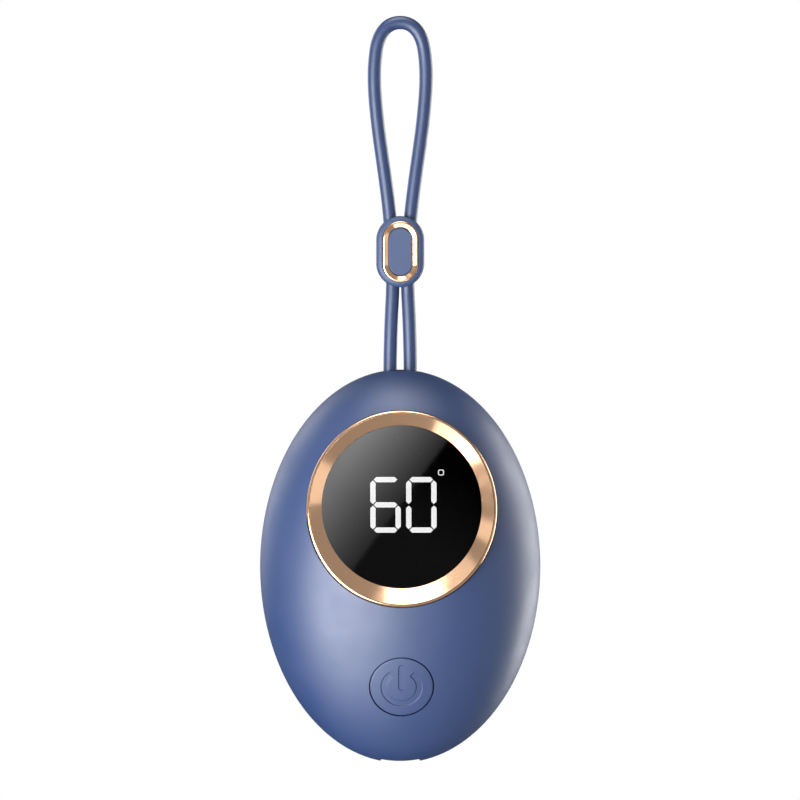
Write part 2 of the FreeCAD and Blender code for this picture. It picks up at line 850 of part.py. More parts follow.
def make_heater_leads():
    """Two wires from the tail of the heater film, over the cell and down to their plug."""
    high = film_tail_top - lead_diameter
    leads = []
    for side in (-1, 1):
        x = side * lead_pitch / 2 + plug_shift
        points = [Vec(x, film_front, high), Vec(x, lead_front, high), Vec(x, lead_front, main_board_top)]
        leads.append(tube(points, lead_diameter)[0])
    return leads


def make_lanyard_anchor():
    top = anchor_top()
    half_width, half_depth = anchor_width / 2, anchor_depth / 2
    anchor = block(-half_width, half_width, -half_depth, half_depth, top - anchor_height, top)
    edges = [edge for edge in anchor.Edges if edge.BoundBox.ZLength > anchor_height / 2]
    return anchor.makeFillet(anchor_round, edges)


def cord_points():
    """Route of the cord from the right leg in the case, up round the loop and down the left leg."""
    leg = cord_leg_spread / 2
    feet = [(leg, case_top - case_drop), (leg, anchor_top() - case_drop)]
    half = cord_half_route + feet
    right = [Vec(x, 0, z) for x, z in half]
    left = [Vec(-x, 0, z) for x, z in half]
    return right[::-1] + left


def make_lanyard_cord():
    cord, length, radii = tube(cord_points(), cord_diameter)
    section = math.pi * cord_diameter ** 2 / 4
    print("cord length", round(length, 1), "bend radii", [round(radius, 1) for radius in radii])
    print("cord volume over section times length", round(cord.Volume / (section * length), 4))
    return cord


def make_slider():
    """Bead with a passage for both legs of the cord and a bevelled trim ring let into its front."""
    front = -slider_depth / 2
    trim_front = front - trim_stand
    bead = stadium(slider_width, slider_height, front, slider_depth / 2, slider_centre)
    bead = round_edges(bead, slider_round, lambda box: box.YLength < slider_round)
    passage = flat_slot(slider_passage_width, slider_passage_depth,
                        slider_centre - slider_height, slider_centre + slider_height)
    groove = trim_band_ring(trim_width + 2 * trim_fit, trim_height + 2 * trim_fit, trim_band + 2 * trim_fit,
                            front - slider_depth, front + trim_sink)
    trim = trim_band_ring(trim_width, trim_height, trim_band, trim_front, front + trim_sink)
    inner_width = trim_width - 2 * trim_band
    inner_height = trim_height - 2 * trim_band
    rim_width = trim_width - 2 * trim_rim
    rim_height = trim_height - 2 * trim_rim
    bevel = Part.makeLoft([
        stadium_wire(rim_width, rim_height, trim_front, slider_centre),
        stadium_wire(inner_width, inner_height, trim_front + trim_bevel, slider_centre),
    ], True, True)
    return bead.cut([passage, groove]), trim.cut(bevel)


def trim_band_ring(width, height, band, y_from, y_to):
    outer = stadium(width, height, y_from, y_to, slider_centre)
    return outer.cut(stadium(width - 2 * band, height - 2 * band, y_from, y_to, slider_centre))


def case_nodes():
    """Everything drawn about the middle of the case, by node name."""
    outer, front, rear = shell_halves()
    lit, unlit = make_segments()
    switch, plunger = make_switch()
    button_board, button_screws = make_button_board()
    chip, inductor, capacitors = make_components()
    spreader, film, bead = make_heater()
    return {
        "front_shell": make_front_shell(outer, front),
        "rear_shell": make_rear_shell(outer, rear),
        "bezel_ring": make_bezel_ring(),
        "display_lens": make_display_lens(),
        "lens_gasket": make_lens_gasket(),
        "display_module": make_display_module(lit + unlit),
        "lit_segments": seat_display(Part.makeCompound(lit)),
        "unlit_segments": seat_display(Part.makeCompound(unlit)),
        "display_board": make_display_board(),
        "display_screws": Part.makeCompound(make_display_screws()),
        "power_button": make_power_button(outer),
        "tact_switch": switch,
        "switch_plunger": plunger,
        "button_board": button_board,
        "button_screws": Part.makeCompound(button_screws),
        "button_leads": Part.makeCompound(make_button_leads()),
        "main_board": make_main_board(),
        "controller_chip": chip,
        "boost_inductor": inductor,
        "capacitors": Part.makeCompound(capacitors),
        "display_leads": Part.makeCompound(make_display_leads()),
        "board_screws": Part.makeCompound(make_board_screws()),
        "usb_shell": make_usb_shell(),
        "usb_tongue": make_usb_tongue(),
        "mid_frame": make_mid_frame(),
        "frame_screws": Part.makeCompound(make_frame_screws()),
        "battery_cell": make_battery_cell(),
        "battery_leads": Part.makeCompound(make_battery_leads()),
        "battery_plug": make_plug(-plug_shift),
        "insulation_pad": make_insulation_pad(),
        "heater_film": film,
        "heat_spreader": spreader,
        "thermistor": bead,
        "heater_leads": Part.makeCompound(make_heater_leads()),
        "heater_plug": make_plug(plug_shift),
        "lanyard_anchor": make_lanyard_anchor(),
    }


def main():
    os.makedirs("parts", exist_ok=True)
    nodes = case_nodes()
    for shape in nodes.values():
        shape.translate(Vec(0, 0, -case_drop))
    nodes["lanyard_cord"] = make_lanyard_cord()
    nodes["slider_body"], nodes["slider_trim"] = make_slider()
    for name, shape in nodes.items():
        shape.exportStep("parts/" + name + ".step")
    print("nodes", len(nodes))
    print("button leans", round(math.degrees(button_lean), 2), "at depth", round(button_surface, 2))


main()
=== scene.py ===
"""Look of a rechargeable hand warmer that hangs from its cord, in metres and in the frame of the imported
part: the origin is the inner top of the cord loop, +Z is up and the display faces -Y."""
import json
import math

import bmesh
import bpy
from mathutils import Matrix, Vector


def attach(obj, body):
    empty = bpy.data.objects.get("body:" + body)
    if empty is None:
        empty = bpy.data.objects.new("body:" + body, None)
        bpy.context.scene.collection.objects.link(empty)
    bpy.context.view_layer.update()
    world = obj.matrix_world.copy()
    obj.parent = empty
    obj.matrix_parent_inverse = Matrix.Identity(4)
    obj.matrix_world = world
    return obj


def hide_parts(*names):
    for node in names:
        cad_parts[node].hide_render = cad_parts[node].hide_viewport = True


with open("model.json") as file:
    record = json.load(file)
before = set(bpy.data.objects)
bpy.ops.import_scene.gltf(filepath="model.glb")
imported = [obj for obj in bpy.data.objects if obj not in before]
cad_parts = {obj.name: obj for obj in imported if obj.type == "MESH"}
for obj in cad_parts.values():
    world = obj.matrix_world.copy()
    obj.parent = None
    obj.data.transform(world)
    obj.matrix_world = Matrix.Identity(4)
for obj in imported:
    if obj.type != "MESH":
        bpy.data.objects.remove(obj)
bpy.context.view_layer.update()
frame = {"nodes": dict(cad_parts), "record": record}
nodes = frame["nodes"]
MM = 0.001

# Camera: a long lens, a little above and to the left of the object's middle
CAMERA_LENS = 450.0
CAMERA_SENSOR = 36.0
CAMERA_LIFT, CAMERA_TURN = math.radians(1.1), math.radians(-1.0)
CAMERA_NEAR, CAMERA_FAR = 0.05, 50.0
VIEW_SIZE = 0.1912
VIEW_MIDDLE = Vector((-0.00005, 0.0, -0.08856))
CAMERA_DISTANCE = VIEW_SIZE * CAMERA_LENS / CAMERA_SENSOR

# Cord: half of its route from the top of the loop to its foot in the case, as (x, z)
CORD_DIAMETER = 0.0032
CORD_FACETS, CORD_STEPS = 8, 16
CORD_HALF_ROUTE = [
    (0.00235, 0.0016), (0.0053, -0.0019), (0.0062, -0.0084), (0.00615, -0.015), (0.0052, -0.0244),
    (0.00365, -0.035), (0.00245, -0.0446), (0.00195, -0.053), (0.00172, -0.061), (0.0021, -0.0682),
    (0.00236, -0.0762), (0.00242, -0.0813), (0.00242, -0.084191),
]


def link(made):
    bpy.context.scene.collection.objects.link(made)
    return made


def heading(turn, lift):
    """Direction that starts at the front, -Y, turned to the right and lifted by these angles."""
    return Vector((math.sin(turn) * math.cos(lift), -math.cos(turn) * math.cos(lift), math.sin(lift)))


TO_CAMERA = heading(CAMERA_TURN, CAMERA_LIFT)


def make_camera():
    data = bpy.data.cameras.new("camera")
    data.lens = CAMERA_LENS
    data.sensor_width = CAMERA_SENSOR
    data.clip_start = CAMERA_NEAR
    data.clip_end = CAMERA_FAR
    camera = link(bpy.data.objects.new("camera", data))
    camera.location = VIEW_MIDDLE + TO_CAMERA * CAMERA_DISTANCE
    camera.rotation_euler = (math.pi / 2 - CAMERA_LIFT, 0, CAMERA_TURN)
    bpy.context.scene.camera = camera


def make_cord():
    """One tube up the right side, round the loop and down the left side."""
    curve = bpy.data.curves.new("lanyard_loop", "CURVE")
    curve.dimensions = "3D"
    curve.bevel_depth = CORD_DIAMETER / 2
    curve.bevel_resolution = CORD_FACETS
    curve.resolution_u = CORD_STEPS
    curve.use_fill_caps = True
    left = [(-x, z) for x, z in CORD_HALF_ROUTE]
    route = CORD_HALF_ROUTE[::-1] + left
    spline = curve.splines.new("NURBS")
    spline.points.add(len(route) - 1)
    for point, (x, z) in zip(spline.points, route):
        point.co = (x, 0, z, 1)
    spline.order_u = 3
    spline.use_endpoint_u = True
    return link(bpy.data.objects.new("lanyard_loop", curve))


make_camera()
cord = make_cord()

# Sizes of the visible pieces as the part has them, in millimetres, degrees and shares
CASE_WIDTH, CASE_HEIGHT, CASE_DROP = 67.0, 94.0, 128.3
FRONT_DEPTH, REAR_DEPTH, WALL, FRONT_POWER, REAR_POWER = 26.0, 19.0, 2.0, 2.0, 2.8
FRONT_CROWN, REAR_CROWN = 0.1532 * CASE_HEIGHT, 0.04255 * CASE_HEIGHT
CROWN_FLAT, REST_LAND = 0.3582, 0.50746
SEAM_WIDTH, SEAM_DEPTH = 0.3, 0.4
RING_WIDTH, RING_HEIGHT = 0.6735 * CASE_WIDTH, 0.499 * CASE_HEIGHT
RING_STAND, RING_FIT, RIM_LAND, RIM_ROUND = 0.8, 0.1, 0.7, 0.6
BEVEL_DEPTH, BEVEL_SIDE, BEVEL_TOP, BEVEL_BOTTOM = 2.0, 3.57, 3.35, 4.65
LIP, LENS_OVERLAP, LENS_FIT, LENS_THICKNESS, GASKET = 0.3, 0.9, 0.1, 1.5, 0.4
MODULE_GAP, BAR_GAP, BAR_DEPTH = 0.1, 0.2, 0.5
BUTTON_DIAMETER, BUTTON_GAP, BUTTON_DROP = 15.0, 0.25, 0.3 * CASE_HEIGHT
FLANGE_FRONT, FLANGE_THICKNESS, FLANGE_OVERHANG, STEM_RADIUS, STEM_LENGTH = 2.45, 1.0, 1.1, 1.6, 1.15
SYMBOL_RADIUS, SYMBOL_STROKE, SYMBOL_DEPTH, SYMBOL_OPENING, SYMBOL_TOP = 4.2, 1.4, 0.25, 36.0, 5.7
SOCKET_WIDTH, SOCKET_HEIGHT, SOCKET_FIT = 8.94, 3.26, 0.15
MOUTH_WIDTH, MOUTH_HEIGHT, MOUTH_DEPTH, MOUTH_CORNER = 9.4, 7.4, 1.0, 0.8
CORD_LEG, CORD_HOLE = 2.42, 1.75
SLIDER_WIDTH, SLIDER_HEIGHT, SLIDER_DEPTH, SLIDER_MIDDLE, SLIDER_ROUND = 11.4, 17.0, 7.2, -53.1, 1.3
PASSAGE_WIDTH, PASSAGE_DEPTH = 8.7, 3.8
TRIM_WIDTH, TRIM_HEIGHT, TRIM_BAND, TRIM_SINK, TRIM_STAND = 8.5, 14.6, 1.4, 0.8, 0.3
TRIM_BEVEL, TRIM_RIM, TRIM_FIT = 0.55, 0.45, 0.02
CUT_REACH, LEG_HOLE_DEPTH, BORE_OVERRUN, BUTTON_HOLE_END = 4.0, 8.0, 6.0, 7.0

# Softened edges that only the picture has, in millimetres
SYMBOL_SOFTNESS, BUTTON_ROUND, TRIM_ROUND, GROOVE_EDGE = 0.2, 0.25, 0.4, 0.15
LENS_ROUND, LENS_RIM = 0.15, 0.2
BEVEL_SHARES = (0.0, 0.03, 0.5, 0.97, 1.0)

# Counts of faces, and distances in metres within which points are joined
CASE_SPOKES, CASE_RINGS, BUTTON_SPOKES, BUTTON_ROWS = 288, 72, 360, 120
HOLE_SIDES, BUTTON_HOLE_SIDES, DEGREE_SIDES = 48, 160, 64
CASE_WELD, PART_WELD = 2e-6, 1e-6

# Light bars, floor, room and the cards that the window mirrors, in metres
LIT_STRENGTH, LIT_CORE = 21.0, 0.7
FLOOR_LEVEL, FLOOR_HALF = -1.3, 6.0
ROOM_LIGHT, ROOM_BACK, ROOM_FADE = 0.35, 0.02, (-0.3, 0.5)
GLOW_CARD, GLOW_DISTANCE, FLAG_CARD, FLAG_DISTANCE = 0.07, 0.6, 0.3, 0.7
GLOW_SLANT, GLOW_EDGE, GLOW_BLUR, GLOW_REACH = math.radians(36.5), -0.0033, 0.0003, 0.021
GLOW_STRENGTH, GLOW_FOOT, GLOW_LOSS, GLOW_SPAN = 5.8, 0.29, 0.72, 0.012
GLOW_REST, REST_END = 0.12, 0.01
WHITE = (1.0, 1.0, 1.0, 1.0)
SQUARE = ((-1, -1), (1, -1), (1, 1), (-1, 1))

# Panels of light: name, width, height, azimuth and elevation in degrees, distance, radiance
PANELS = [
    ("key", 0.9, 0.76, -35.5, -14.5, 1.0, 10.0),
    ("trim_foot", 1.0, 0.9, -2, -58, 1.0, 2.0),
    ("key_foot", 0.4, 0.3, -52, -43, 1.0, 1.6),
    ("top", 0.62, 0.75, -25, 80, 0.9, 3.7),
    ("right_back", 0.55, 0.88, 126, 1.5, 0.9, 5.6),
    ("left_back", 0.6, 0.65, -138, 17, 0.9, 2.1),
    ("right_patch", 0.4, 0.45, 70, -6, 1.0, 0.65),
    ("left_patch", 0.3, 0.2, -68, 22, 1.0, 0.65),
    ("high_patch", 0.3, 0.22, -52, 46, 1.0, 0.6),
]

# Sizes that follow from others
WINDOW_WIDTH = RING_WIDTH - 2 * BEVEL_SIDE
WINDOW_HEIGHT = RING_HEIGHT - BEVEL_TOP - BEVEL_BOTTOM
WINDOW_RISE = (BEVEL_BOTTOM - BEVEL_TOP) / 2
WINDOW_SIDE = min(WINDOW_WIDTH, WINDOW_HEIGHT)
LENS_FRONT = BEVEL_DEPTH + LIP
LENS_BACK = LENS_FRONT + LENS_THICKNESS
RING_BACK = LENS_BACK + GASKET
BARS_FRONT = LENS_BACK + MODULE_GAP
DIGIT_WIDTH, DIGIT_HEIGHT, DIGIT_PITCH, DIGIT_RISE, DIGITS_SHIFT, BAR_STROKE = [
    share * WINDOW_SIDE for share in (0.1898, 0.349, 0.2235, 0.0332, 0.0117, 0.0325)]
DEGREE_SIZE, DEGREE_LINE, DEGREE_SHIFT, DEGREE_RISE = [
    share * WINDOW_SIDE for share in (0.0365, 0.0052, 0.2468, 0.236)]


def dome_rise(share):
    """Height of the front dome, as a share of its depth, where its section is this share of full size."""
    return (1 - share ** FRONT_POWER) ** (1 / FRONT_POWER)


def dome_share(x, z):
    """Share of full size of the front dome's section through a point, about the middle of the case."""
    half_width, half_height = CASE_WIDTH / 2, CASE_HEIGHT / 2
    squeeze = 1 - (FRONT_CROWN / half_height) ** 2
    shift = FRONT_CROWN * (z - FRONT_CROWN) / half_height ** 2
    reach = (x / half_width) ** 2 + ((z - FRONT_CROWN) / half_height) ** 2
    return (shift + math.sqrt(shift ** 2 + squeeze * reach)) / squeeze


ring_top_drop = FRONT_DEPTH * (1 - dome_rise(RING_HEIGHT / 2 / (CASE_HEIGHT / 2 - FRONT_CROWN)))
ring_bottom_drop = FRONT_DEPTH * (1 - dome_rise(RING_HEIGHT / 2 / (CASE_HEIGHT / 2 + FRONT_CROWN)))
display_lean = math.atan((ring_top_drop - ring_bottom_drop) / RING_HEIGHT)
display_depth = FRONT_DEPTH - (ring_top_drop + ring_bottom_drop) / 2 + RING_STAND
button_share = (FRONT_CROWN + BUTTON_DROP) / (FRONT_CROWN + CASE_HEIGHT / 2)
button_surface = FRONT_DEPTH * dome_rise(button_share)
button_steepness = (button_share / dome_rise(button_share)) ** (FRONT_POWER - 1)
button_lean = math.atan(button_steepness * FRONT_DEPTH / (FRONT_CROWN + CASE_HEIGHT / 2))

TO_METRES = Matrix.Scale(MM, 4)
CASE_SEAT = TO_METRES @ Matrix.Translation((0, 0, -CASE_DROP))
DISPLAY_SEAT = (CASE_SEAT @ Matrix.Translation((0, -display_depth, FRONT_CROWN))
                @ Matrix.Rotation(-display_lean, 4, "X"))
BUTTON_SEAT = (CASE_SEAT @ Matrix.Translation((0, -button_surface, -BUTTON_DROP))
               @ Matrix.Rotation(button_lean, 4, "X"))


class Graph:
    """Adds nodes to a node tree and wires their sockets."""

    def __init__(self, tree):
        self.tree = tree

    def node(self, kind, inputs=None, **settings):
        made = self.tree.nodes.new(kind)
        for name, value in settings.items():
            setattr(made, name, value)
        for key, value in (inputs or {}).items():
            self.feed(made.inputs[key], value)
        return made

    def feed(self, socket, value):
        if isinstance(value, bpy.types.NodeSocket):
            self.tree.links.new(value, socket)
        else:
            socket.default_value = value

    def math(self, operation, *values):
        made = self.node("ShaderNodeMath", operation=operation)
        for socket, value in zip(made.inputs, values):
            self.feed(socket, value)
        return made.outputs[0]

    def mix(self, factor, first, second):
        made = self.node("ShaderNodeMix", data_type="RGBA")
        for index, value in ((0, factor), (6, first), (7, second)):
            self.feed(made.inputs[index], value)
        return made.outputs[2]

    def ramp(self, value, low, high, to_low=0.0, to_high=1.0):
        made = self.node("ShaderNodeMapRange", {0: value, 1: low, 2: high, 3: to_low, 4: to_high})
        return made.outputs[0]


SOCKETS = {float: "NodeSocketFloat", int: "NodeSocketInt", tuple: "NodeSocketColor"}


def new_group(name, kind, inputs, outputs):
    """Node group with named inputs and outputs; a text value names the socket's kind."""
    tree = bpy.data.node_groups.new(name, kind)
    for way, sockets in (("INPUT", inputs), ("OUTPUT", outputs)):
        for label, value in sockets.items():
            wanted = value if isinstance(value, str) else SOCKETS[type(value)]
            made = tree.interface.new_socket(label, in_out=way, socket_type=wanted)
            if not isinstance(value, str) and way == "INPUT":
                made.default_value = value
    graph = Graph(tree)
    return graph, graph.node("NodeGroupInput").outputs, graph.node("NodeGroupOutput").inputs


# Meshes
def finish_mesh(name, mesh, angle):
    """Outward faces, smooth except at edges sharper than angle."""
    shape = bmesh.new()
    shape.from_mesh(mesh)
    bmesh.ops.recalc_face_normals(shape, faces=shape.faces)
    shape.to_mesh(mesh)
    shape.free()
    mesh.polygons.foreach_set("use_smooth", [True] * len(mesh.polygons))
    mesh.set_sharp_from_angle(angle=math.radians(angle))
    return link(bpy.data.objects.new(name, mesh))


def loft(name, rings, seat=TO_METRES, closed=False, angle=30.0):
    """Skin through rings of points, capped at its ends, or joined end to end where it is closed."""
    count = len(rings[0])
    faces = []
    for i in range(len(rings) if closed else len(rings) - 1):
        low, high = i * count, (i + 1) % len(rings) * count
        for j in range(count):
            k = (j + 1) % count
            faces.append((low + j, low + k, high + k, high + j))
    if not closed:
        last = (len(rings) - 1) * count
        faces.append(tuple(range(count)))
        faces.append(tuple(range(last, last + count)))
    mesh = bpy.data.meshes.new(name)
    mesh.from_pydata([seat @ Vector(point) for ring in rings for point in ring], [], faces)
    return finish_mesh(name, mesh, angle)


def turns(count):
    """Evenly spaced angles round a full circle."""
    return [2 * math.pi * i / count for i in range(count)]


def oval(width, height, y, z=0.0, count=256):
    return [(width / 2 * math.cos(turn), y, z + height / 2 * math.sin(turn)) for turn in turns(count)]


def stadium(width, height, y, z=0.0, count=96):
    """Upright slot outline: two half circles, joined by straight sides."""
    radius = width / 2
    straight = height / 2 - radius
    ring = []
    for i in range(count):
        upper = i < count // 2
        turn = math.pi * (i % (count // 2)) / (count // 2 - 1) + (0 if upper else math.pi)
        lift = straight if upper else -straight
        ring.append((radius * math.cos(turn), y, z + lift + radius * math.sin(turn)))
    return ring


def lying_slot(width, depth, z, count=96):
    """Slot outline across Z."""
    return [(across, up, z) for up, _, across in stadium(depth, width, 0, 0, count)]


def rounded_box(width, depth, corner, z, steps=8):
    """Rectangle with rounded corners, across Z."""
    ring = []
    for quarter, (x, y) in enumerate(((1, 1), (-1, 1), (-1, -1), (1, -1))):
        for i in range(steps + 1):
            turn = math.pi / 2 * (quarter + i / steps)
            ring.append((x * (width / 2 - corner) + corner * math.cos(turn),
                         y * (depth / 2 - corner) + corner * math.sin(turn), z))
    return ring


def rounded(radius, steps=8):
    """Quarter round as (inset, drop) pairs, from the side of a piece to its face."""
    angles = [math.pi / 2 * i / steps for i in range(steps + 1)]
    return [(radius * (1 - math.cos(angle)), radius * (1 - math.sin(angle))) for angle in angles]


def cut(piece, cutters, angle=30.0):
    """Piece with the cutters taken away."""
    for cutter in cutters:
        bite = piece.modifiers.new(cutter.name, "BOOLEAN")
        bite.operation = "DIFFERENCE"
        bite.solver = "EXACT"
        bite.object = cutter
    depsgraph = bpy.context.evaluated_depsgraph_get()
    mesh = bpy.data.meshes.new_from_object(piece.evaluated_get(depsgraph))
    name = piece.name
    for spent in [piece, *cutters]:
        bpy.data.objects.remove(spent)
    mesh.name = name
    return finish_mesh(name, mesh, angle)


# Case: both halves come from one rule, an ellipse that shrinks along a superellipse
def spoke_grid(graph, given):
    """Grid of Spokes by Rings, with the angle round it and the share along it of each of its points."""
    grid = graph.node("GeometryNodeMeshGrid", {
        "Size X": 1.0, "Size Y": 1.0,
        "Vertices X": graph.math("ADD", given["Spokes"], 1), "Vertices Y": given["Rings"],
    })
    position = graph.node("GeometryNodeInputPosition").outputs[0]
    spot = graph.node("ShaderNodeSeparateXYZ", {0: position}).outputs
    turn = graph.math("MULTIPLY", graph.math("ADD", spot["X"], 0.5), 2 * math.pi)
    return grid.outputs["Mesh"], turn, graph.math("ADD", spot["Y"], 0.5)


def settle(graph, mesh, x, y, z):
    """Mesh with its points moved to x, y and z."""
    place = graph.node("ShaderNodeCombineXYZ", {"X": x, "Y": y, "Z": z}).outputs[0]
    return graph.node("GeometryNodeSetPosition", {"Geometry": mesh, "Position": place}).outputs[0]


def egg_sheet_group():
    """Dome skin from the parting plane to where its section is End Share of full size."""
    graph, given, made = new_group("egg_sheet", "GeometryNodeTree", {
        "Width": 0.067, "Height": 0.094, "Depth": 0.021, "Crown Rise": 0.0, "Dome Power": 2.8,
        "Start": 0.0, "End Share": 0.5, "Spokes": 256, "Rings": 64,
    }, {"Skin": "NodeSocketGeometry"})
    grid, turn, along = spoke_grid(graph, given)
    half_power = graph.math("DIVIDE", given["Dome Power"], 2.0)
    root = graph.math("DIVIDE", 2.0, given["Dome Power"])
    depth = graph.math("ABSOLUTE", given["Depth"])
    start_share = graph.math("DIVIDE", given["Start"], depth)
    first = graph.math("ARCSINE", graph.math("POWER", start_share, half_power))
    last = graph.math("ARCCOSINE", graph.math("POWER", given["End Share"], half_power))
    angle = graph.ramp(along, 0.0, 1.0, first, last)
    share = graph.math("POWER", graph.math("COSINE", angle), root)
    rise = graph.math("POWER", graph.math("SINE", angle), root)
    across = graph.math("MULTIPLY", graph.math("MULTIPLY", given["Width"], 0.5), share)
    upright = graph.math("MULTIPLY", graph.math("MULTIPLY", given["Height"], 0.5), share)
    lift = graph.math("MULTIPLY", given["Crown Rise"], graph.math("SUBTRACT", 1.0, share))
    x = graph.math("MULTIPLY", across, graph.math("COSINE", turn))
    y = graph.math("MULTIPLY", given["Depth"], rise)
    z = graph.math("ADD", lift, graph.math("MULTIPLY", upright, graph.math("SINE", turn)))
    graph.feed(made["Skin"], settle(graph, grid, x, y, z))
    return graph.tree


def oval_band_group():
    """Straight band between two ellipses."""
    graph, given, made = new_group("oval_band", "GeometryNodeTree", {
        "Width A": 0.06, "Height A": 0.09, "Y A": 0.0, "Z A": 0.0,
        "Width B": 0.05, "Height B": 0.08, "Y B": 0.0, "Z B": 0.0, "Spokes": 256, "Rings": 2,
    }, {"Skin": "NodeSocketGeometry"})
    grid, turn, along = spoke_grid(graph, given)
    width, height, y, z = [graph.ramp(along, 0.0, 1.0, given[label + " A"], given[label + " B"])
                           for label in ("Width", "Height", "Y", "Z")]
    across = graph.math("MULTIPLY", graph.math("MULTIPLY", width, 0.5), graph.math("COSINE", turn))
    upright = graph.math("MULTIPLY", graph.math("MULTIPLY", height, 0.5), graph.math("SINE", turn))
    graph.feed(made["Skin"], settle(graph, grid, across, y, graph.math("ADD", z, upright)))
    return graph.tree


def egg_half_group():
    """Closed half of the case: outer and inner dome, flat ends, and a rebated edge at the parting plane."""
    graph, given, made = new_group("egg_half", "GeometryNodeTree", {
        "Geometry": "NodeSocketGeometry",
        "Width": 0.067, "Height": 0.094, "Depth": 0.021, "Side": 1.0, "Crown Rise": 0.0, "Dome Power": 2.8,
        "End Share": 0.5, "Wall": 0.002, "Seam Width": 0.0003, "Seam Depth": 0.0004, "Drop": 0.1283,
        "Spokes": 256, "Rings": 64, "Material": "NodeSocketMaterial",
    }, {"Geometry": "NodeSocketGeometry"})
    sheet, band = egg_sheet_group(), oval_band_group()
    spokes = given["Spokes"]

    def less(label, count, amount):
        return graph.math("SUBTRACT", given[label], graph.math("MULTIPLY", amount, count))

    def dome(width, height, depth, start):
        made_dome = graph.node("GeometryNodeGroup", node_tree=sheet)
        values = {"Width": width, "Height": height, "Depth": graph.math("MULTIPLY", depth, given["Side"]),
                  "Crown Rise": given["Crown Rise"], "Dome Power": given["Dome Power"], "Start": start,
                  "End Share": given["End Share"], "Spokes": spokes, "Rings": given["Rings"]}
        for label, value in values.items():
            graph.feed(made_dome.inputs[label], value)
        return made_dome.outputs[0]

    def strip(first, second, rings=2):
        made_strip = graph.node("GeometryNodeGroup", node_tree=band)
        for tag, values in (("A", first), ("B", second)):
            for label, value in zip(("Width", "Height", "Y", "Z"), values):
                graph.feed(made_strip.inputs[label + " " + tag], value)
        graph.feed(made_strip.inputs["Spokes"], spokes)
        graph.feed(made_strip.inputs["Rings"], rings)
        return made_strip.outputs[0]

    def dome_end(width, height, depth):
        """Flat end of a dome, from its last section to its middle."""
        power = given["Dome Power"]
        fall = graph.math("POWER", given["End Share"], power)
        rise = graph.math("POWER", graph.math("SUBTRACT", 1.0, fall), graph.math("DIVIDE", 1.0, power))
        y = graph.math("MULTIPLY", graph.math("MULTIPLY", depth, given["Side"]), rise)
        z = graph.math("MULTIPLY", given["Crown Rise"], graph.math("SUBTRACT", 1.0, given["End Share"]))
        edge = (graph.math("MULTIPLY", width, given["End Share"]),
                graph.math("MULTIPLY", height, given["End Share"]), y, z)
        return strip(edge, (0.0, 0.0, y, z), rings=12)

    inner_width, inner_height = less("Width", 2.0, given["Wall"]), less("Height", 2.0, given["Wall"])
    inner_depth = less("Depth", 1.0, given["Wall"])
    step_width = less("Width", 2.0, given["Seam Depth"])
    step_height = less("Height", 2.0, given["Seam Depth"])
    half_seam = graph.math("MULTIPLY", given["Seam Width"], 0.5)
    step_y = graph.math("MULTIPLY", half_seam, given["Side"])
    skins = [
        dome(given["Width"], given["Height"], given["Depth"], half_seam),
        dome(inner_width, inner_height, inner_depth, 0.0),
        dome_end(given["Width"], given["Height"], given["Depth"]),
        dome_end(inner_width, inner_height, inner_depth),
        strip((given["Width"], given["Height"], step_y, 0.0), (step_width, step_height, step_y, 0.0)),
        strip((step_width, step_height, step_y, 0.0), (step_width, step_height, 0.0, 0.0)),
        strip((step_width, step_height, 0.0, 0.0), (inner_width, inner_height, 0.0, 0.0), rings=4),
    ]
    joined = graph.node("GeometryNodeJoinGeometry")
    for skin in skins:
        graph.tree.links.new(skin, joined.inputs[0])
    welded = graph.node("GeometryNodeMergeByDistance", {
        "Geometry": joined.outputs[0], "Distance": CASE_WELD})
    down = graph.node("ShaderNodeCombineXYZ", {"Z": graph.math("MULTIPLY", given["Drop"], -1.0)})
    lowered = graph.node("GeometryNodeTransform", {
        "Geometry": welded.outputs[0], "Translation": down.outputs[0]})
    painted = graph.node("GeometryNodeSetMaterial", {
        "Geometry": lowered.outputs[0], "Material": given["Material"]})
    graph.feed(made["Geometry"], painted.outputs[0])
    return graph.tree


def grown(name, tree, values, points=None, seat=None, angle=30.0):
    """Mesh piece that a tree makes from these values and points; the tree itself isn't kept on it."""
    seed = link(bpy.data.objects.new(name + "_seed", points or bpy.data.meshes.new(name + "_seed")))
    modifier = seed.modifiers.new(name, "NODES")
    modifier.node_group = tree
    for item in tree.interface.items_tree:
        if item.in_out == "INPUT" and item.name in values:
            modifier[item.identifier] = values[item.name]
    seed.update_tag()
    depsgraph = bpy.context.evaluated_depsgraph_get()
    mesh = bpy.data.meshes.new_from_object(seed.evaluated_get(depsgraph))
    bpy.data.objects.remove(seed)
    mesh.name = name
    if seat:
        mesh.transform(seat)
    return finish_mesh(name, mesh, angle)


def leg_holes():
    holes = []
    for side in (-1, 1):
        rings = []
        for z in (CASE_HEIGHT / 2 - LEG_HOLE_DEPTH, CASE_HEIGHT / 2 + CUT_REACH):
            rings.append([(side * CORD_LEG + CORD_HOLE * math.cos(turn), CORD_HOLE * math.sin(turn), z)
                          for turn in turns(HOLE_SIDES)])
        holes.append(loft("leg_hole", rings, CASE_SEAT))
    return holes


def socket_cuts():
    bottom = -CASE_HEIGHT / 2
    low = bottom - CUT_REACH
    slot_sizes = (SOCKET_WIDTH + 2 * SOCKET_FIT, SOCKET_HEIGHT + 2 * SOCKET_FIT)
    slot = [lying_slot(*slot_sizes, z) for z in (low, bottom + WALL + CUT_REACH)]
    mouth_sizes = (MOUTH_WIDTH, MOUTH_HEIGHT, MOUTH_CORNER)
    mouth = [rounded_box(*mouth_sizes, z) for z in (low, bottom + MOUTH_DEPTH)]
    return [loft("socket_slot", slot, CASE_SEAT), loft("socket_mouth", mouth, CASE_SEAT)]


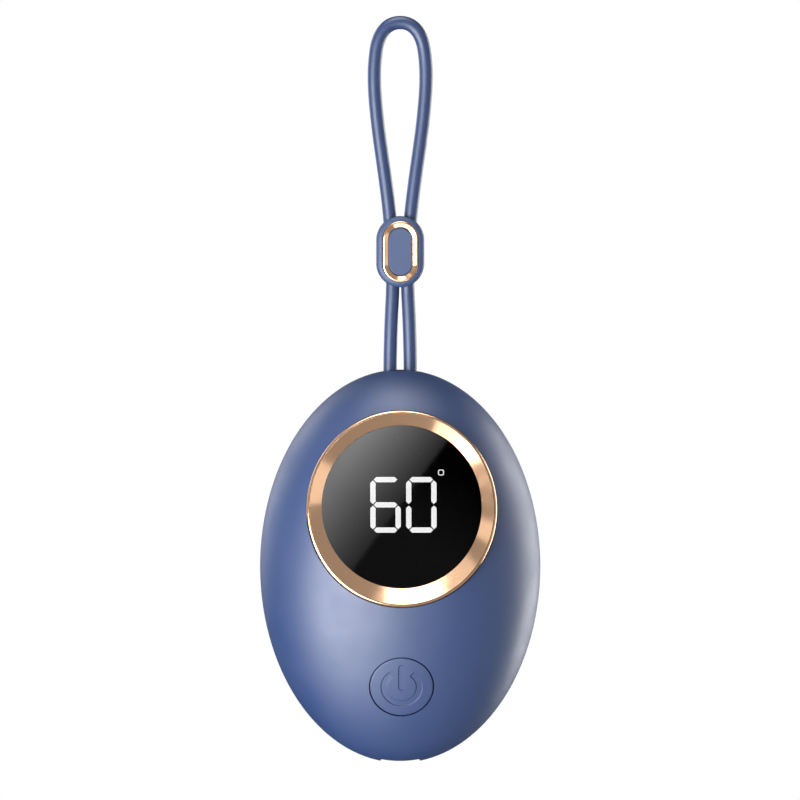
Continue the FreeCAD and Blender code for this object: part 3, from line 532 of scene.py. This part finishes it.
def make_shells():
    tree = egg_half_group()
    shared = {"Width": CASE_WIDTH * MM, "Height": CASE_HEIGHT * MM, "Wall": WALL * MM,
              "Seam Width": SEAM_WIDTH * MM, "Seam Depth": SEAM_DEPTH * MM, "Drop": CASE_DROP * MM,
              "Spokes": CASE_SPOKES, "Rings": CASE_RINGS}
    front = grown("case_front", tree, dict(shared, **{
        "Depth": FRONT_DEPTH * MM, "Side": -1.0, "Crown Rise": FRONT_CROWN * MM, "Dome Power": FRONT_POWER,
        "End Share": CROWN_FLAT}))
    rear = grown("case_rear", tree, dict(shared, **{
        "Depth": REAR_DEPTH * MM, "Side": 1.0, "Crown Rise": REAR_CROWN * MM, "Dome Power": REAR_POWER,
        "End Share": REST_LAND}))
    bore_width, bore_height = RING_WIDTH + 2 * RING_FIT, RING_HEIGHT + 2 * RING_FIT
    bore_ends = (display_depth - FRONT_DEPTH - CUT_REACH, RING_BACK + BORE_OVERRUN)
    bore = loft("bore", [oval(bore_width, bore_height, y) for y in bore_ends], DISPLAY_SEAT)
    hole_size = BUTTON_DIAMETER + 2 * BUTTON_GAP
    hole_ends = (-CUT_REACH, BUTTON_HOLE_END)
    hole_rings = [oval(hole_size, hole_size, y, count=BUTTON_HOLE_SIDES) for y in hole_ends]
    hole = loft("hole", hole_rings, BUTTON_SEAT)
    front = cut(front, [bore, hole, *leg_holes(), *socket_cuts()])
    rear = cut(rear, [*leg_holes(), *socket_cuts()])
    return front, rear


def make_ring():
    """Bevelled ring: rounded rim, wide bevel down to the window, and the pocket of the lens behind it."""
    rings = [oval(RING_WIDTH, RING_HEIGHT, RING_BACK)]
    for inset, drop in rounded(RIM_ROUND, 10):
        rings.append(oval(RING_WIDTH - 2 * inset, RING_HEIGHT - 2 * inset, drop))
    rim_width, rim_height = RING_WIDTH - 2 * RIM_LAND, RING_HEIGHT - 2 * RIM_LAND
    for share in BEVEL_SHARES:
        width = rim_width + (WINDOW_WIDTH - rim_width) * share
        height = rim_height + (WINDOW_HEIGHT - rim_height) * share
        rings.append(oval(width, height, BEVEL_DEPTH * share, WINDOW_RISE * share))
    grow = 2 * (LENS_OVERLAP + LENS_FIT)
    rings.append(oval(WINDOW_WIDTH, WINDOW_HEIGHT, LENS_FRONT, WINDOW_RISE))
    rings.append(oval(WINDOW_WIDTH + grow, WINDOW_HEIGHT + grow, LENS_FRONT, WINDOW_RISE))
    rings.append(oval(WINDOW_WIDTH + grow, WINDOW_HEIGHT + grow, RING_BACK, WINDOW_RISE))
    return loft("display_ring", rings, DISPLAY_SEAT, closed=True, angle=20.0)


def make_lens():
    width, height = WINDOW_WIDTH + 2 * LENS_OVERLAP, WINDOW_HEIGHT + 2 * LENS_OVERLAP
    rings = [oval(width, height, LENS_BACK, WINDOW_RISE)]
    for inset, drop in [*rounded(LENS_ROUND, 4), (LENS_RIM, 0.0)]:
        rings.append(oval(width - 2 * inset, height - 2 * inset, LENS_FRONT + drop, WINDOW_RISE))
    return loft("display_window", rings, DISPLAY_SEAT)


def hexagon(length, half, y):
    """Outline of a light bar with pointed ends, along X."""
    tip, shoulder = length / 2, length / 2 - half
    corners = [(-tip, 0), (-shoulder, half), (shoulder, half),
               (tip, 0), (shoulder, -half), (-shoulder, -half)]
    return [(x, y, z) for x, z in corners]


def light_bars_group():
    """Copies of one bar on marked points, each turned and stretched by the point's own values."""
    graph, given, made = new_group("light_bars", "GeometryNodeTree", {
        "Geometry": "NodeSocketGeometry", "Bar": "NodeSocketObject",
    }, {"Geometry": "NodeSocketGeometry"})
    pattern = graph.node("GeometryNodeObjectInfo", {"Object": given["Bar"]})
    turn = graph.node("GeometryNodeInputNamedAttribute", {"Name": "turn"}, data_type="FLOAT")
    stretch = graph.node("GeometryNodeInputNamedAttribute", {"Name": "stretch"}, data_type="FLOAT")
    rotation = graph.node("ShaderNodeCombineXYZ", {"Y": turn.outputs[0]})
    scale = graph.node("ShaderNodeCombineXYZ", {"X": stretch.outputs[0], "Y": 1.0, "Z": 1.0})
    placed = graph.node("GeometryNodeInstanceOnPoints", {
        "Points": given["Geometry"], "Instance": pattern.outputs["Geometry"],
        "Rotation": rotation.outputs[0], "Scale": scale.outputs[0],
    })
    real = graph.node("GeometryNodeRealizeInstances", {"Geometry": placed.outputs[0]})
    graph.feed(made["Geometry"], real.outputs[0])
    return graph.tree


def make_digits():
    """Light bars of a six and a nought: the lit ones and the two that are off."""
    width, height = DIGIT_WIDTH - BAR_STROKE, DIGIT_HEIGHT - BAR_STROKE
    length = width - 2 * BAR_GAP
    half, margin = BAR_STROKE / 2, BAR_STROKE / 5
    core = hexagon(length - 3 * margin, half - margin, BARS_FRONT)
    edges = [hexagon(length, half, y) for y in (BARS_FRONT, BARS_FRONT + BAR_DEPTH)]
    bar = loft("bar", [core, *edges], Matrix.Identity(4))
    glow = bar.data.attributes.new("core", "FLOAT", "POINT")
    glow.data.foreach_set("value", [1.0] * len(core) + [0.0] * len(core) * len(edges))
    upright = (height / 2 - 2 * BAR_GAP) / length
    spots = {"top": (0, 0.5), "upper_left": (-0.5, 0.25), "upper_right": (0.5, 0.25), "middle": (0, 0),
             "lower_left": (-0.5, -0.25), "lower_right": (0.5, -0.25), "bottom": (0, -0.5)}
    lit, unlit = [], []
    for side, off in ((-1, "upper_right"), (1, "middle")):
        for label, (across, up) in spots.items():
            x = DIGITS_SHIFT + side * DIGIT_PITCH / 2 + across * width
            row = (x, DIGIT_RISE + up * height, across != 0)
            (unlit if label == off else lit).append(row)
    tree = light_bars_group()
    pieces = []
    for name, rows in (("lit_bars", lit), ("unlit_bars", unlit)):
        points = bpy.data.meshes.new(name + "_points")
        points.from_pydata([(x, 0, z) for x, z, _ in rows], [], [])
        quarter = points.attributes.new("turn", "FLOAT", "POINT")
        quarter.data.foreach_set("value", [math.pi / 2 if tall else 0.0 for _, _, tall in rows])
        stretches = points.attributes.new("stretch", "FLOAT", "POINT")
        stretches.data.foreach_set("value", [upright if tall else 1.0 for _, _, tall in rows])
        pieces.append(grown(name, tree, {"Bar": bar}, points=points, seat=DISPLAY_SEAT))
    bpy.data.objects.remove(bar)
    return pieces


def make_degree():
    """Small rounded ring of the degree sign."""
    def outline(size, y):
        ring = []
        for turn in turns(DEGREE_SIDES):
            x, z = math.cos(turn), math.sin(turn)
            push = size / 2 / (abs(x) ** 4 + abs(z) ** 4) ** 0.25
            ring.append((DEGREE_SHIFT + push * x, y, DEGREE_RISE + push * z))
        return ring

    hole = DEGREE_SIZE - 2 * DEGREE_LINE
    back = BARS_FRONT + BAR_DEPTH
    rings = [outline(DEGREE_SIZE, back), outline(DEGREE_SIZE, BARS_FRONT), outline(hole, BARS_FRONT),
             outline(hole, back)]
    return loft("degree_mark", rings, DISPLAY_SEAT, closed=True)


def symbol_depth(x, z):
    """How deep the power symbol is sunk at a spot on the button: an open ring and an upright bar."""
    half = SYMBOL_STROKE / 2
    radius = math.hypot(x, z)
    opening = math.radians(SYMBOL_OPENING)
    off_axis = abs(math.atan2(x, z)) if radius > 0 else 0.0
    off_ring = max(abs(radius - SYMBOL_RADIUS) - half, radius * math.sin(opening - off_axis))
    off_bar = math.hypot(x, z - min(max(z, 0.0), SYMBOL_TOP - half)) - half
    inside = 0.5 - min(off_ring, off_bar) / SYMBOL_SOFTNESS
    inside = min(max(inside, 0.0), 1.0)
    return SYMBOL_DEPTH * inside * inside * (3 - 2 * inside)


def make_button():
    """Cap that continues the dome, with the sunk symbol, and the flange and stem behind it."""
    lean, edge = button_lean, BUTTON_DIAMETER / 2

    def cap_depth(x, z):
        """Depth of the dome along the button's axis, from the middle of the cap."""
        depth = 0.0
        for _ in range(5):
            y = -button_surface + depth * math.cos(lean) - z * math.sin(lean)
            up = -BUTTON_DROP + depth * math.sin(lean) + z * math.cos(lean)
            depth += (-FRONT_DEPTH * dome_rise(dome_share(x, up)) - y) * math.cos(lean)
        return depth

    def circle(radius):
        return [(radius * math.cos(turn), radius * math.sin(turn)) for turn in turns(BUTTON_SPOKES)]

    rings = []
    for row in range(1, BUTTON_ROWS + 1):
        spots = circle((edge - BUTTON_ROUND) * row / BUTTON_ROWS)
        rings.append([(x, cap_depth(x, z) + symbol_depth(x, z), z) for x, z in spots])
    for inset, drop in rounded(BUTTON_ROUND, 6)[-2::-1]:
        rings.append([(x, cap_depth(x, z) + drop, z) for x, z in circle(edge - inset)])
    flange = edge + FLANGE_OVERHANG
    flange_back = FLANGE_FRONT + FLANGE_THICKNESS
    for radius, y in ((edge, FLANGE_FRONT), (flange, FLANGE_FRONT), (flange, flange_back),
                      (STEM_RADIUS, flange_back), (STEM_RADIUS, flange_back + STEM_LENGTH)):
        rings.append([(x, y, z) for x, z in circle(radius)])
    return loft("power_cap", rings, BUTTON_SEAT)


def make_slider():
    """Bead with rounded edges, a groove for its trim ring and a passage for both legs of the cord."""
    front, back = -SLIDER_DEPTH / 2, SLIDER_DEPTH / 2

    def band(inset, y):
        return stadium(SLIDER_WIDTH - 2 * inset, SLIDER_HEIGHT - 2 * inset, y, SLIDER_MIDDLE)

    rings = [band(inset, back - drop) for inset, drop in rounded(SLIDER_ROUND)[::-1]]
    rings += [band(inset, front + drop) for inset, drop in rounded(SLIDER_ROUND)]
    outer = (SLIDER_WIDTH - TRIM_WIDTH) / 2 - TRIM_FIT
    inner = outer + TRIM_BAND + 2 * TRIM_FIT
    bed, rim = front + TRIM_SINK, front + GROOVE_EDGE
    for inset, y in ((outer - GROOVE_EDGE, front), (outer, rim), (outer, bed), (inner, bed), (inner, rim),
                     (inner + GROOVE_EDGE, front)):
        rings.append(band(inset, y))
    body = loft("bead", rings)
    passage_ends = (SLIDER_MIDDLE - SLIDER_HEIGHT, SLIDER_MIDDLE + SLIDER_HEIGHT)
    passage = [lying_slot(PASSAGE_WIDTH, PASSAGE_DEPTH, z) for z in passage_ends]
    return cut(body, [loft("passage", passage)])


def make_trim():
    """Trim ring of the bead: rounded outer edge, flat rim and a bevel towards the inlay."""
    front = -SLIDER_DEPTH / 2 - TRIM_STAND

    def band(inset, y):
        return stadium(TRIM_WIDTH - 2 * inset, TRIM_HEIGHT - 2 * inset, y, SLIDER_MIDDLE)

    back = -SLIDER_DEPTH / 2 + TRIM_SINK
    rings = [band(0, back)] + [band(inset, front + drop) for inset, drop in rounded(TRIM_ROUND)]
    rings += [band(TRIM_RIM, front), band(TRIM_BAND, front + TRIM_BEVEL), band(TRIM_BAND, back)]
    return loft("bead_trim", rings, closed=True, angle=20.0)


def dressed(node, name, angle=30.0):
    """Smooth copy of a piece's own mesh."""
    mesh = nodes[node].data.copy()
    mesh.name = name
    mesh.materials.clear()
    shape = bmesh.new()
    shape.from_mesh(mesh)
    bmesh.ops.remove_doubles(shape, verts=shape.verts, dist=PART_WELD)
    shape.to_mesh(mesh)
    shape.free()
    return finish_mesh(name, mesh, angle)


# Finishes
def surface_group():
    """Cloudy tone, handling smudges and a fine moulded or worked grain."""
    graph, given, made = new_group("surface", "ShaderNodeTree", {
        "Vector": "NodeSocketVector", "Grain Scale": 5000.0, "Grain Depth": 0.1, "Cloud Scale": 60.0,
    }, {"Tone": "NodeSocketFloat", "Smudge": "NodeSocketFloat", "Normal": "NodeSocketVector"})

    def noise(scale, detail):
        values = {"Vector": given["Vector"], "Scale": scale, "Detail": detail}
        return graph.node("ShaderNodeTexNoise", values).outputs[0]

    grain = noise(given["Grain Scale"], 3.0)
    cloud = noise(given["Cloud Scale"], 4.0)
    smudge = noise(graph.math("MULTIPLY", given["Cloud Scale"], 2.7), 6.0)
    bump = graph.node("ShaderNodeBump", {
        "Strength": given["Grain Depth"], "Distance": 0.0001, "Height": grain})
    tone = graph.math("MULTIPLY_ADD", cloud, 0.7, graph.math("MULTIPLY", grain, 0.3))
    graph.feed(made["Tone"], graph.ramp(tone, 0.3, 0.7))
    graph.feed(made["Smudge"], graph.ramp(smudge, 0.35, 0.65))
    graph.feed(made["Normal"], bump.outputs[0])
    return graph.tree


def traces_group():
    """Mask of straight printed tracks with round pads, on the faces across Y."""
    graph, given, made = new_group("traces", "ShaderNodeTree", {
        "Vector": "NodeSocketVector", "Pitch": 0.0016,
    }, {"Track": "NodeSocketFloat", "Pad": "NodeSocketFloat"})
    scale = graph.math("DIVIDE", 1.0, given["Pitch"])
    scaled = graph.node("ShaderNodeVectorMath", {0: given["Vector"], "Scale": scale}, operation="SCALE")
    spot = scaled.outputs[0]
    cells = graph.node("ShaderNodeTexVoronoi", {"Vector": spot, "Scale": 0.4, "Randomness": 0.6},
                       distance="CHEBYCHEV", feature="F1").outputs["Distance"]
    pads = graph.node("ShaderNodeTexVoronoi", {"Vector": spot, "Scale": 0.5, "Randomness": 0.8})
    rows = graph.math("FRACT", graph.math("MULTIPLY", cells, 5.0))
    off_track = graph.math("ABSOLUTE", graph.math("SUBTRACT", rows, 0.5))
    for label, distance in (("Track", off_track), ("Pad", pads.outputs["Distance"])):
        graph.feed(made[label], graph.ramp(distance, 0.16, 0.2, 1.0, 0.0))
    return graph.tree


SURFACE = surface_group()
TRACES = traces_group()


class Finish:
    """Procedural material: a colour with clouds, smudges and grain, and values given by socket name."""

    def __init__(self, name, colour, rough, grain=5000.0, depth=0.1, cloud=60.0, swing=0.1, smudge=0.1,
                 stretch=None, **sockets):
        self.material = bpy.data.materials.new(name)
        self.material.use_nodes = True
        self.graph = Graph(self.material.node_tree)
        self.shader = self.material.node_tree.nodes["Principled BSDF"]
        self.vector = self.graph.node("ShaderNodeTexCoord").outputs["Object"]
        if stretch:
            mapped = self.graph.node("ShaderNodeMapping", {"Vector": self.vector, "Scale": stretch})
            self.vector = mapped.outputs[0]
        surface = self.graph.node("ShaderNodeGroup", node_tree=SURFACE)
        values = {"Vector": self.vector, "Grain Scale": grain, "Grain Depth": depth, "Cloud Scale": cloud}
        for label, value in values.items():
            self.graph.feed(surface.inputs[label], value)
        self.tone, self.smudge = surface.outputs["Tone"], surface.outputs["Smudge"]
        self.colour = self.graph.mix(self.tone, shade(colour, 1 - swing), shade(colour, 1 + swing))
        self.graph.feed(self.shader.inputs["Base Color"], self.colour)
        roughness = self.graph.ramp(self.smudge, 0.0, 1.0, rough * (1 - smudge), rough * (1 + smudge))
        self.graph.feed(self.shader.inputs["Roughness"], roughness)
        self.graph.feed(self.shader.inputs["Normal"], surface.outputs["Normal"])
        for label, value in sockets.items():
            self.shader.inputs[label.replace("_", " ")].default_value = value

    def paint(self, mask, colour):
        """Lay another colour over the base where the mask is 1."""
        self.colour = self.graph.mix(mask, self.colour, (*colour, 1.0))
        self.graph.feed(self.shader.inputs["Base Color"], self.colour)


def shade(colour, share):
    return (*[min(channel * share, 1.0) for channel in colour], 1.0)


def make_finishes():
    made = {}

    def add(name, colour, rough, **details):
        made[name] = Finish(name, colour, rough, **details)
        return made[name]

    add("soft_touch_blue", (0.016, 0.041, 0.132), 0.5, grain=6500.0, depth=0.05, cloud=45.0,
        swing=0.04, smudge=0.06, Specular_IOR_Level=1.0)
    add("silicone_blue", (0.019, 0.041, 0.12), 0.42, grain=5200.0, depth=0.06, cloud=120.0,
        swing=0.06, smudge=0.1, Specular_IOR_Level=0.75)
    add("bead_blue", (0.0265, 0.053, 0.137), 0.56, grain=6000.0, depth=0.04, cloud=140.0,
        swing=0.05, smudge=0.08, Specular_IOR_Level=0.8)
    add("rose_gold", (0.97, 0.59, 0.362), 0.16, grain=3000.0, depth=0.02, cloud=90.0,
        swing=0.04, smudge=0.2, Metallic=1.0)
    add("smoked_window", (0.05, 0.05, 0.05), 0.01, grain=2500.0, depth=0.004, cloud=70.0,
        swing=0.05, smudge=0.4, Transmission_Weight=1.0, IOR=1.5)
    lit = add("lit_bar", (0.8, 0.8, 0.8), 0.5, grain=4000.0, depth=0.05, cloud=300.0, swing=0.04)
    core = lit.graph.node("ShaderNodeAttribute", attribute_name="core").outputs["Fac"]
    dimmed = lit.graph.math("MULTIPLY", core, LIT_CORE)
    glow = lit.graph.mix(dimmed, WHITE, (0.8, 0.8, 0.8, 1.0))
    lit.graph.feed(lit.shader.inputs["Emission Color"], glow)
    lit.shader.inputs["Emission Strength"].default_value = LIT_STRENGTH
    add("unlit_bar", (0.03, 0.03, 0.032), 0.45, grain=4000.0, depth=0.05, cloud=300.0)
    add("black_plastic", (0.012, 0.012, 0.013), 0.5, grain=4500.0, depth=0.12, cloud=150.0, swing=0.2)
    add("seal_rubber", (0.02, 0.02, 0.02), 0.7, grain=3500.0, depth=0.2, cloud=200.0, swing=0.2)
    board = add("circuit_board", (0.01, 0.012, 0.012), 0.4, grain=2600.0, depth=0.08, cloud=120.0,
                swing=0.15)
    tracks = board.graph.node("ShaderNodeGroup", node_tree=TRACES)
    board.graph.feed(tracks.inputs["Vector"], board.vector)
    board.paint(tracks.outputs["Track"], (0.02, 0.025, 0.024))
    board.paint(tracks.outputs["Pad"], (0.55, 0.4, 0.15))
    add("steel", (0.6, 0.6, 0.62), 0.28, grain=2500.0, depth=0.05, cloud=150.0, swing=0.06, smudge=0.25,
        stretch=(1.0, 1.0, 0.08), Metallic=1.0)
    add("switch_stem", (0.68, 0.68, 0.66), 0.45, grain=4000.0, depth=0.1, cloud=250.0)
    add("wire_cover", (0.45, 0.05, 0.04), 0.5, grain=3500.0, depth=0.1, cloud=220.0, swing=0.15)
    add("ferrite", (0.06, 0.06, 0.065), 0.65, grain=1800.0, depth=0.35, cloud=300.0, swing=0.3)
    add("capacitor_can", (0.65, 0.65, 0.66), 0.32, grain=2400.0, depth=0.05, cloud=200.0,
        stretch=(1.0, 0.06, 1.0), Metallic=1.0)
    add("frame_plastic", (0.55, 0.55, 0.53), 0.5, grain=3800.0, depth=0.12, cloud=80.0)
    add("cell_wrap", (0.5, 0.52, 0.55), 0.38, grain=700.0, depth=0.5, cloud=50.0, swing=0.12, Metallic=0.9)
    foam = add("foam", (0.75, 0.74, 0.7), 0.9, grain=1200.0, depth=0.6, cloud=90.0, swing=0.12)
    # painted shade: the foam is darker in its pores, a dimmer copy of its own colour standing in for the
    # shadow in the cells
    shaded_pores = foam.graph.node("ShaderNodeTexVoronoi", {"Vector": foam.vector, "Scale": 900.0})
    foam.paint(foam.graph.ramp(shaded_pores.outputs["Distance"], 0.15, 0.3, 1.0, 0.0), (0.5, 0.49, 0.46))
    film = add("amber_film", (0.55, 0.25, 0.05), 0.25, grain=2000.0, depth=0.06, cloud=70.0)
    tracks = film.graph.node("ShaderNodeTexWave", {"Vector": film.vector, "Scale": 90.0, "Distortion": 0.0},
                             bands_direction="Z")
    film.paint(film.graph.ramp(tracks.outputs["Fac"], 0.55, 0.6), (0.3, 0.1, 0.03))
    add("bare_aluminium", (0.75, 0.75, 0.76), 0.3, grain=2200.0, depth=0.06, cloud=60.0,
        stretch=(1.0, 1.0, 0.05), Metallic=1.0)
    add("bead_glass", (0.3, 0.12, 0.05), 0.12, grain=2500.0, depth=0.05, cloud=400.0, swing=0.2,
        Transmission_Weight=0.6, IOR=1.5)
    return {name: finish.material for name, finish in made.items()}


# Studio
def panel(name, width, height, azimuth, elevation, distance, radiance):
    """Soft rectangular light that faces the case, seen from the case at these angles in degrees."""
    away = heading(math.radians(azimuth), math.radians(elevation))
    data = bpy.data.lights.new(name, "AREA")
    data.shape = "RECTANGLE"
    data.size, data.size_y = width, height
    data.energy = radiance * math.pi * width * height
    lamp = link(bpy.data.objects.new(name, data))
    lamp.location = Vector((0, 0, -CASE_DROP * MM)) + away * distance
    lamp.rotation_euler = away.to_track_quat("Z", "Y").to_euler()
    return lamp


def mask(lamp, piece, state):
    """Mask of a light, which keeps it off one piece (EXCLUDE) or on that piece alone (INCLUDE)."""
    masked = bpy.data.collections.new(lamp.name + "_mask")
    masked.objects.link(piece)
    lamp.light_linking.receiver_collection = masked
    masked.collection_objects[0].light_linking.link_state = state


def studio_material(name, make_shader):
    made = bpy.data.materials.new(name)
    made.use_nodes = True
    made.node_tree.nodes.clear()
    graph = Graph(made.node_tree)
    output = graph.node("ShaderNodeOutputMaterial")
    graph.feed(output.inputs["Surface"], make_shader(graph))
    return made


def make_floor():
    """Pale floor below the hanging object, white to the camera."""
    def shader(graph):
        grain = graph.node("ShaderNodeTexNoise", {"Scale": 30.0}).outputs[0]
        colour = graph.mix(grain, (0.78, 0.78, 0.78, 1.0), (0.82, 0.82, 0.82, 1.0))
        pale = graph.node("ShaderNodeBsdfDiffuse", {"Color": colour}).outputs[0]
        white = graph.node("ShaderNodeEmission", {"Color": WHITE, "Strength": 1.0}).outputs[0]
        seen = graph.node("ShaderNodeLightPath").outputs["Is Camera Ray"]
        return graph.node("ShaderNodeMixShader", {0: seen, 1: pale, 2: white}).outputs[0]

    mesh = bpy.data.meshes.new("floor")
    corners = [(x * FLOOR_HALF, y * FLOOR_HALF, FLOOR_LEVEL) for x, y in SQUARE]
    mesh.from_pydata(corners, [], [(0, 1, 2, 3)])
    mesh.materials.append(studio_material("pale_floor", shader))
    floor = link(bpy.data.objects.new("floor", mesh))
    floor.visible_glossy = False


def make_world():
    """White behind the object for the camera; for all else a room, grey in front and dark behind."""
    world = bpy.data.worlds.new("studio")
    bpy.context.scene.world = world
    bpy.context.scene.view_settings.view_transform = "Standard"
    world.use_nodes = True
    world.node_tree.nodes.clear()
    graph = Graph(world.node_tree)
    generated = graph.node("ShaderNodeTexCoord").outputs["Generated"]
    way = graph.node("ShaderNodeSeparateXYZ", {0: generated}).outputs
    strength = graph.ramp(way["Y"], *ROOM_FADE, ROOM_LIGHT, ROOM_BACK)
    room = graph.node("ShaderNodeBackground", {"Color": WHITE, "Strength": strength}).outputs[0]
    white = graph.node("ShaderNodeBackground", {"Color": WHITE, "Strength": 1.0}).outputs[0]
    seen = graph.node("ShaderNodeLightPath").outputs["Is Camera Ray"]
    mixed = graph.node("ShaderNodeMixShader", {0: seen, 1: room, 2: white})
    graph.feed(graph.node("ShaderNodeOutputWorld").inputs["Surface"], mixed.outputs[0])


def card(name, size, distance, shader):
    """Card that the display's window mirrors to the camera; the camera itself doesn't see it."""
    window = DISPLAY_SEAT @ Vector((0, LENS_FRONT, WINDOW_RISE))
    normal = Vector((0, -math.cos(display_lean), math.sin(display_lean)))
    away = 2 * normal.dot(TO_CAMERA) * normal - TO_CAMERA
    seat = Matrix.Translation(window + away * distance) @ away.to_track_quat("-Y", "Z").to_matrix().to_4x4()
    mesh = bpy.data.meshes.new(name)
    mesh.from_pydata([(x * size / 2, 0, z * size / 2) for x, z in SQUARE], [], [(0, 1, 2, 3)])
    mesh.materials.append(studio_material(name, shader))
    made = link(bpy.data.objects.new(name, mesh))
    made.matrix_world = seat
    for ray in ("camera", "diffuse", "shadow", "transmission"):
        setattr(made, "visible_" + ray, False)


def make_cards():
    def black(graph):
        return graph.node("ShaderNodeEmission", {"Color": (0.0, 0.0, 0.0, 1.0), "Strength": 0.0}).outputs[0]

    def glow(graph):
        """Light that fades to a straight slanting edge, and a faint rest at the lower left."""
        position = graph.node("ShaderNodeTexCoord").outputs["Object"]
        spot = graph.node("ShaderNodeSeparateXYZ", {0: position}).outputs
        slant = graph.math("ADD", graph.math("MULTIPLY", spot["X"], -math.cos(GLOW_SLANT)),
                           graph.math("MULTIPLY", spot["Z"], math.sin(GLOW_SLANT)))
        along = graph.math("ADD", graph.math("MULTIPLY", spot["X"], -math.sin(GLOW_SLANT)),
                           graph.math("MULTIPLY", spot["Z"], -math.cos(GLOW_SLANT)))
        past = graph.math("SUBTRACT", slant, GLOW_EDGE)
        edge = graph.ramp(past, 0.0, GLOW_BLUR)
        fade = graph.math("POWER", graph.ramp(past, 0.0, GLOW_REACH, GLOW_FOOT, 1.0), 2.0)
        rest = graph.ramp(along, -GLOW_SPAN, REST_END, 0.0, GLOW_REST)
        full = graph.ramp(along, -GLOW_SPAN, GLOW_SPAN, GLOW_STRENGTH, GLOW_STRENGTH * GLOW_LOSS)
        strength = graph.math("MULTIPLY_ADD", graph.math("MULTIPLY", edge, fade), full, rest)
        return graph.node("ShaderNodeEmission", {"Color": WHITE, "Strength": strength}).outputs[0]

    card("window_glow", GLOW_CARD, GLOW_DISTANCE, glow)
    card("window_flag", FLAG_CARD, FLAG_DISTANCE, black)


def main():
    finishes = make_finishes()
    slots = {row["node"]: row["material_slot"] for row in frame["record"]["subparts"]}
    for name, node in nodes.items():
        node.data.materials.clear()
        node.data.materials.append(finishes[slots[name]])
    front, rear = make_shells()
    lit, unlit = make_digits()
    slider, trim, lens = make_slider(), make_trim(), make_lens()
    pieces = [
        (front, "case", "front_shell"), (rear, "case", "rear_shell"), (make_ring(), "case", "bezel_ring"),
        (lens, "case", "display_lens"), (lit, "case", "lit_segments"), (unlit, "case", "unlit_segments"),
        (make_degree(), "case", "lit_segments"), (make_button(), "button", "power_button"),
        (slider, "slider", "slider_body"), (trim, "slider", "slider_trim"), (cord, "case", "lanyard_cord"),
        (dressed("usb_shell", "socket_shell"), "case", "usb_shell"),
        (dressed("usb_tongue", "socket_tongue"), "case", "usb_tongue"),
    ]
    for piece, body, node in pieces:
        piece.data.materials.clear()
        piece.data.materials.append(finishes[slots[node]])
        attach(piece, body)
        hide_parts(node)
    make_floor()
    make_world()
    make_cards()
    lamps = {row[0]: panel(*row) for row in PANELS}
    mask(lamps["key"], lens, "EXCLUDE")
    mask(lamps["trim_foot"], trim, "INCLUDE")


main()
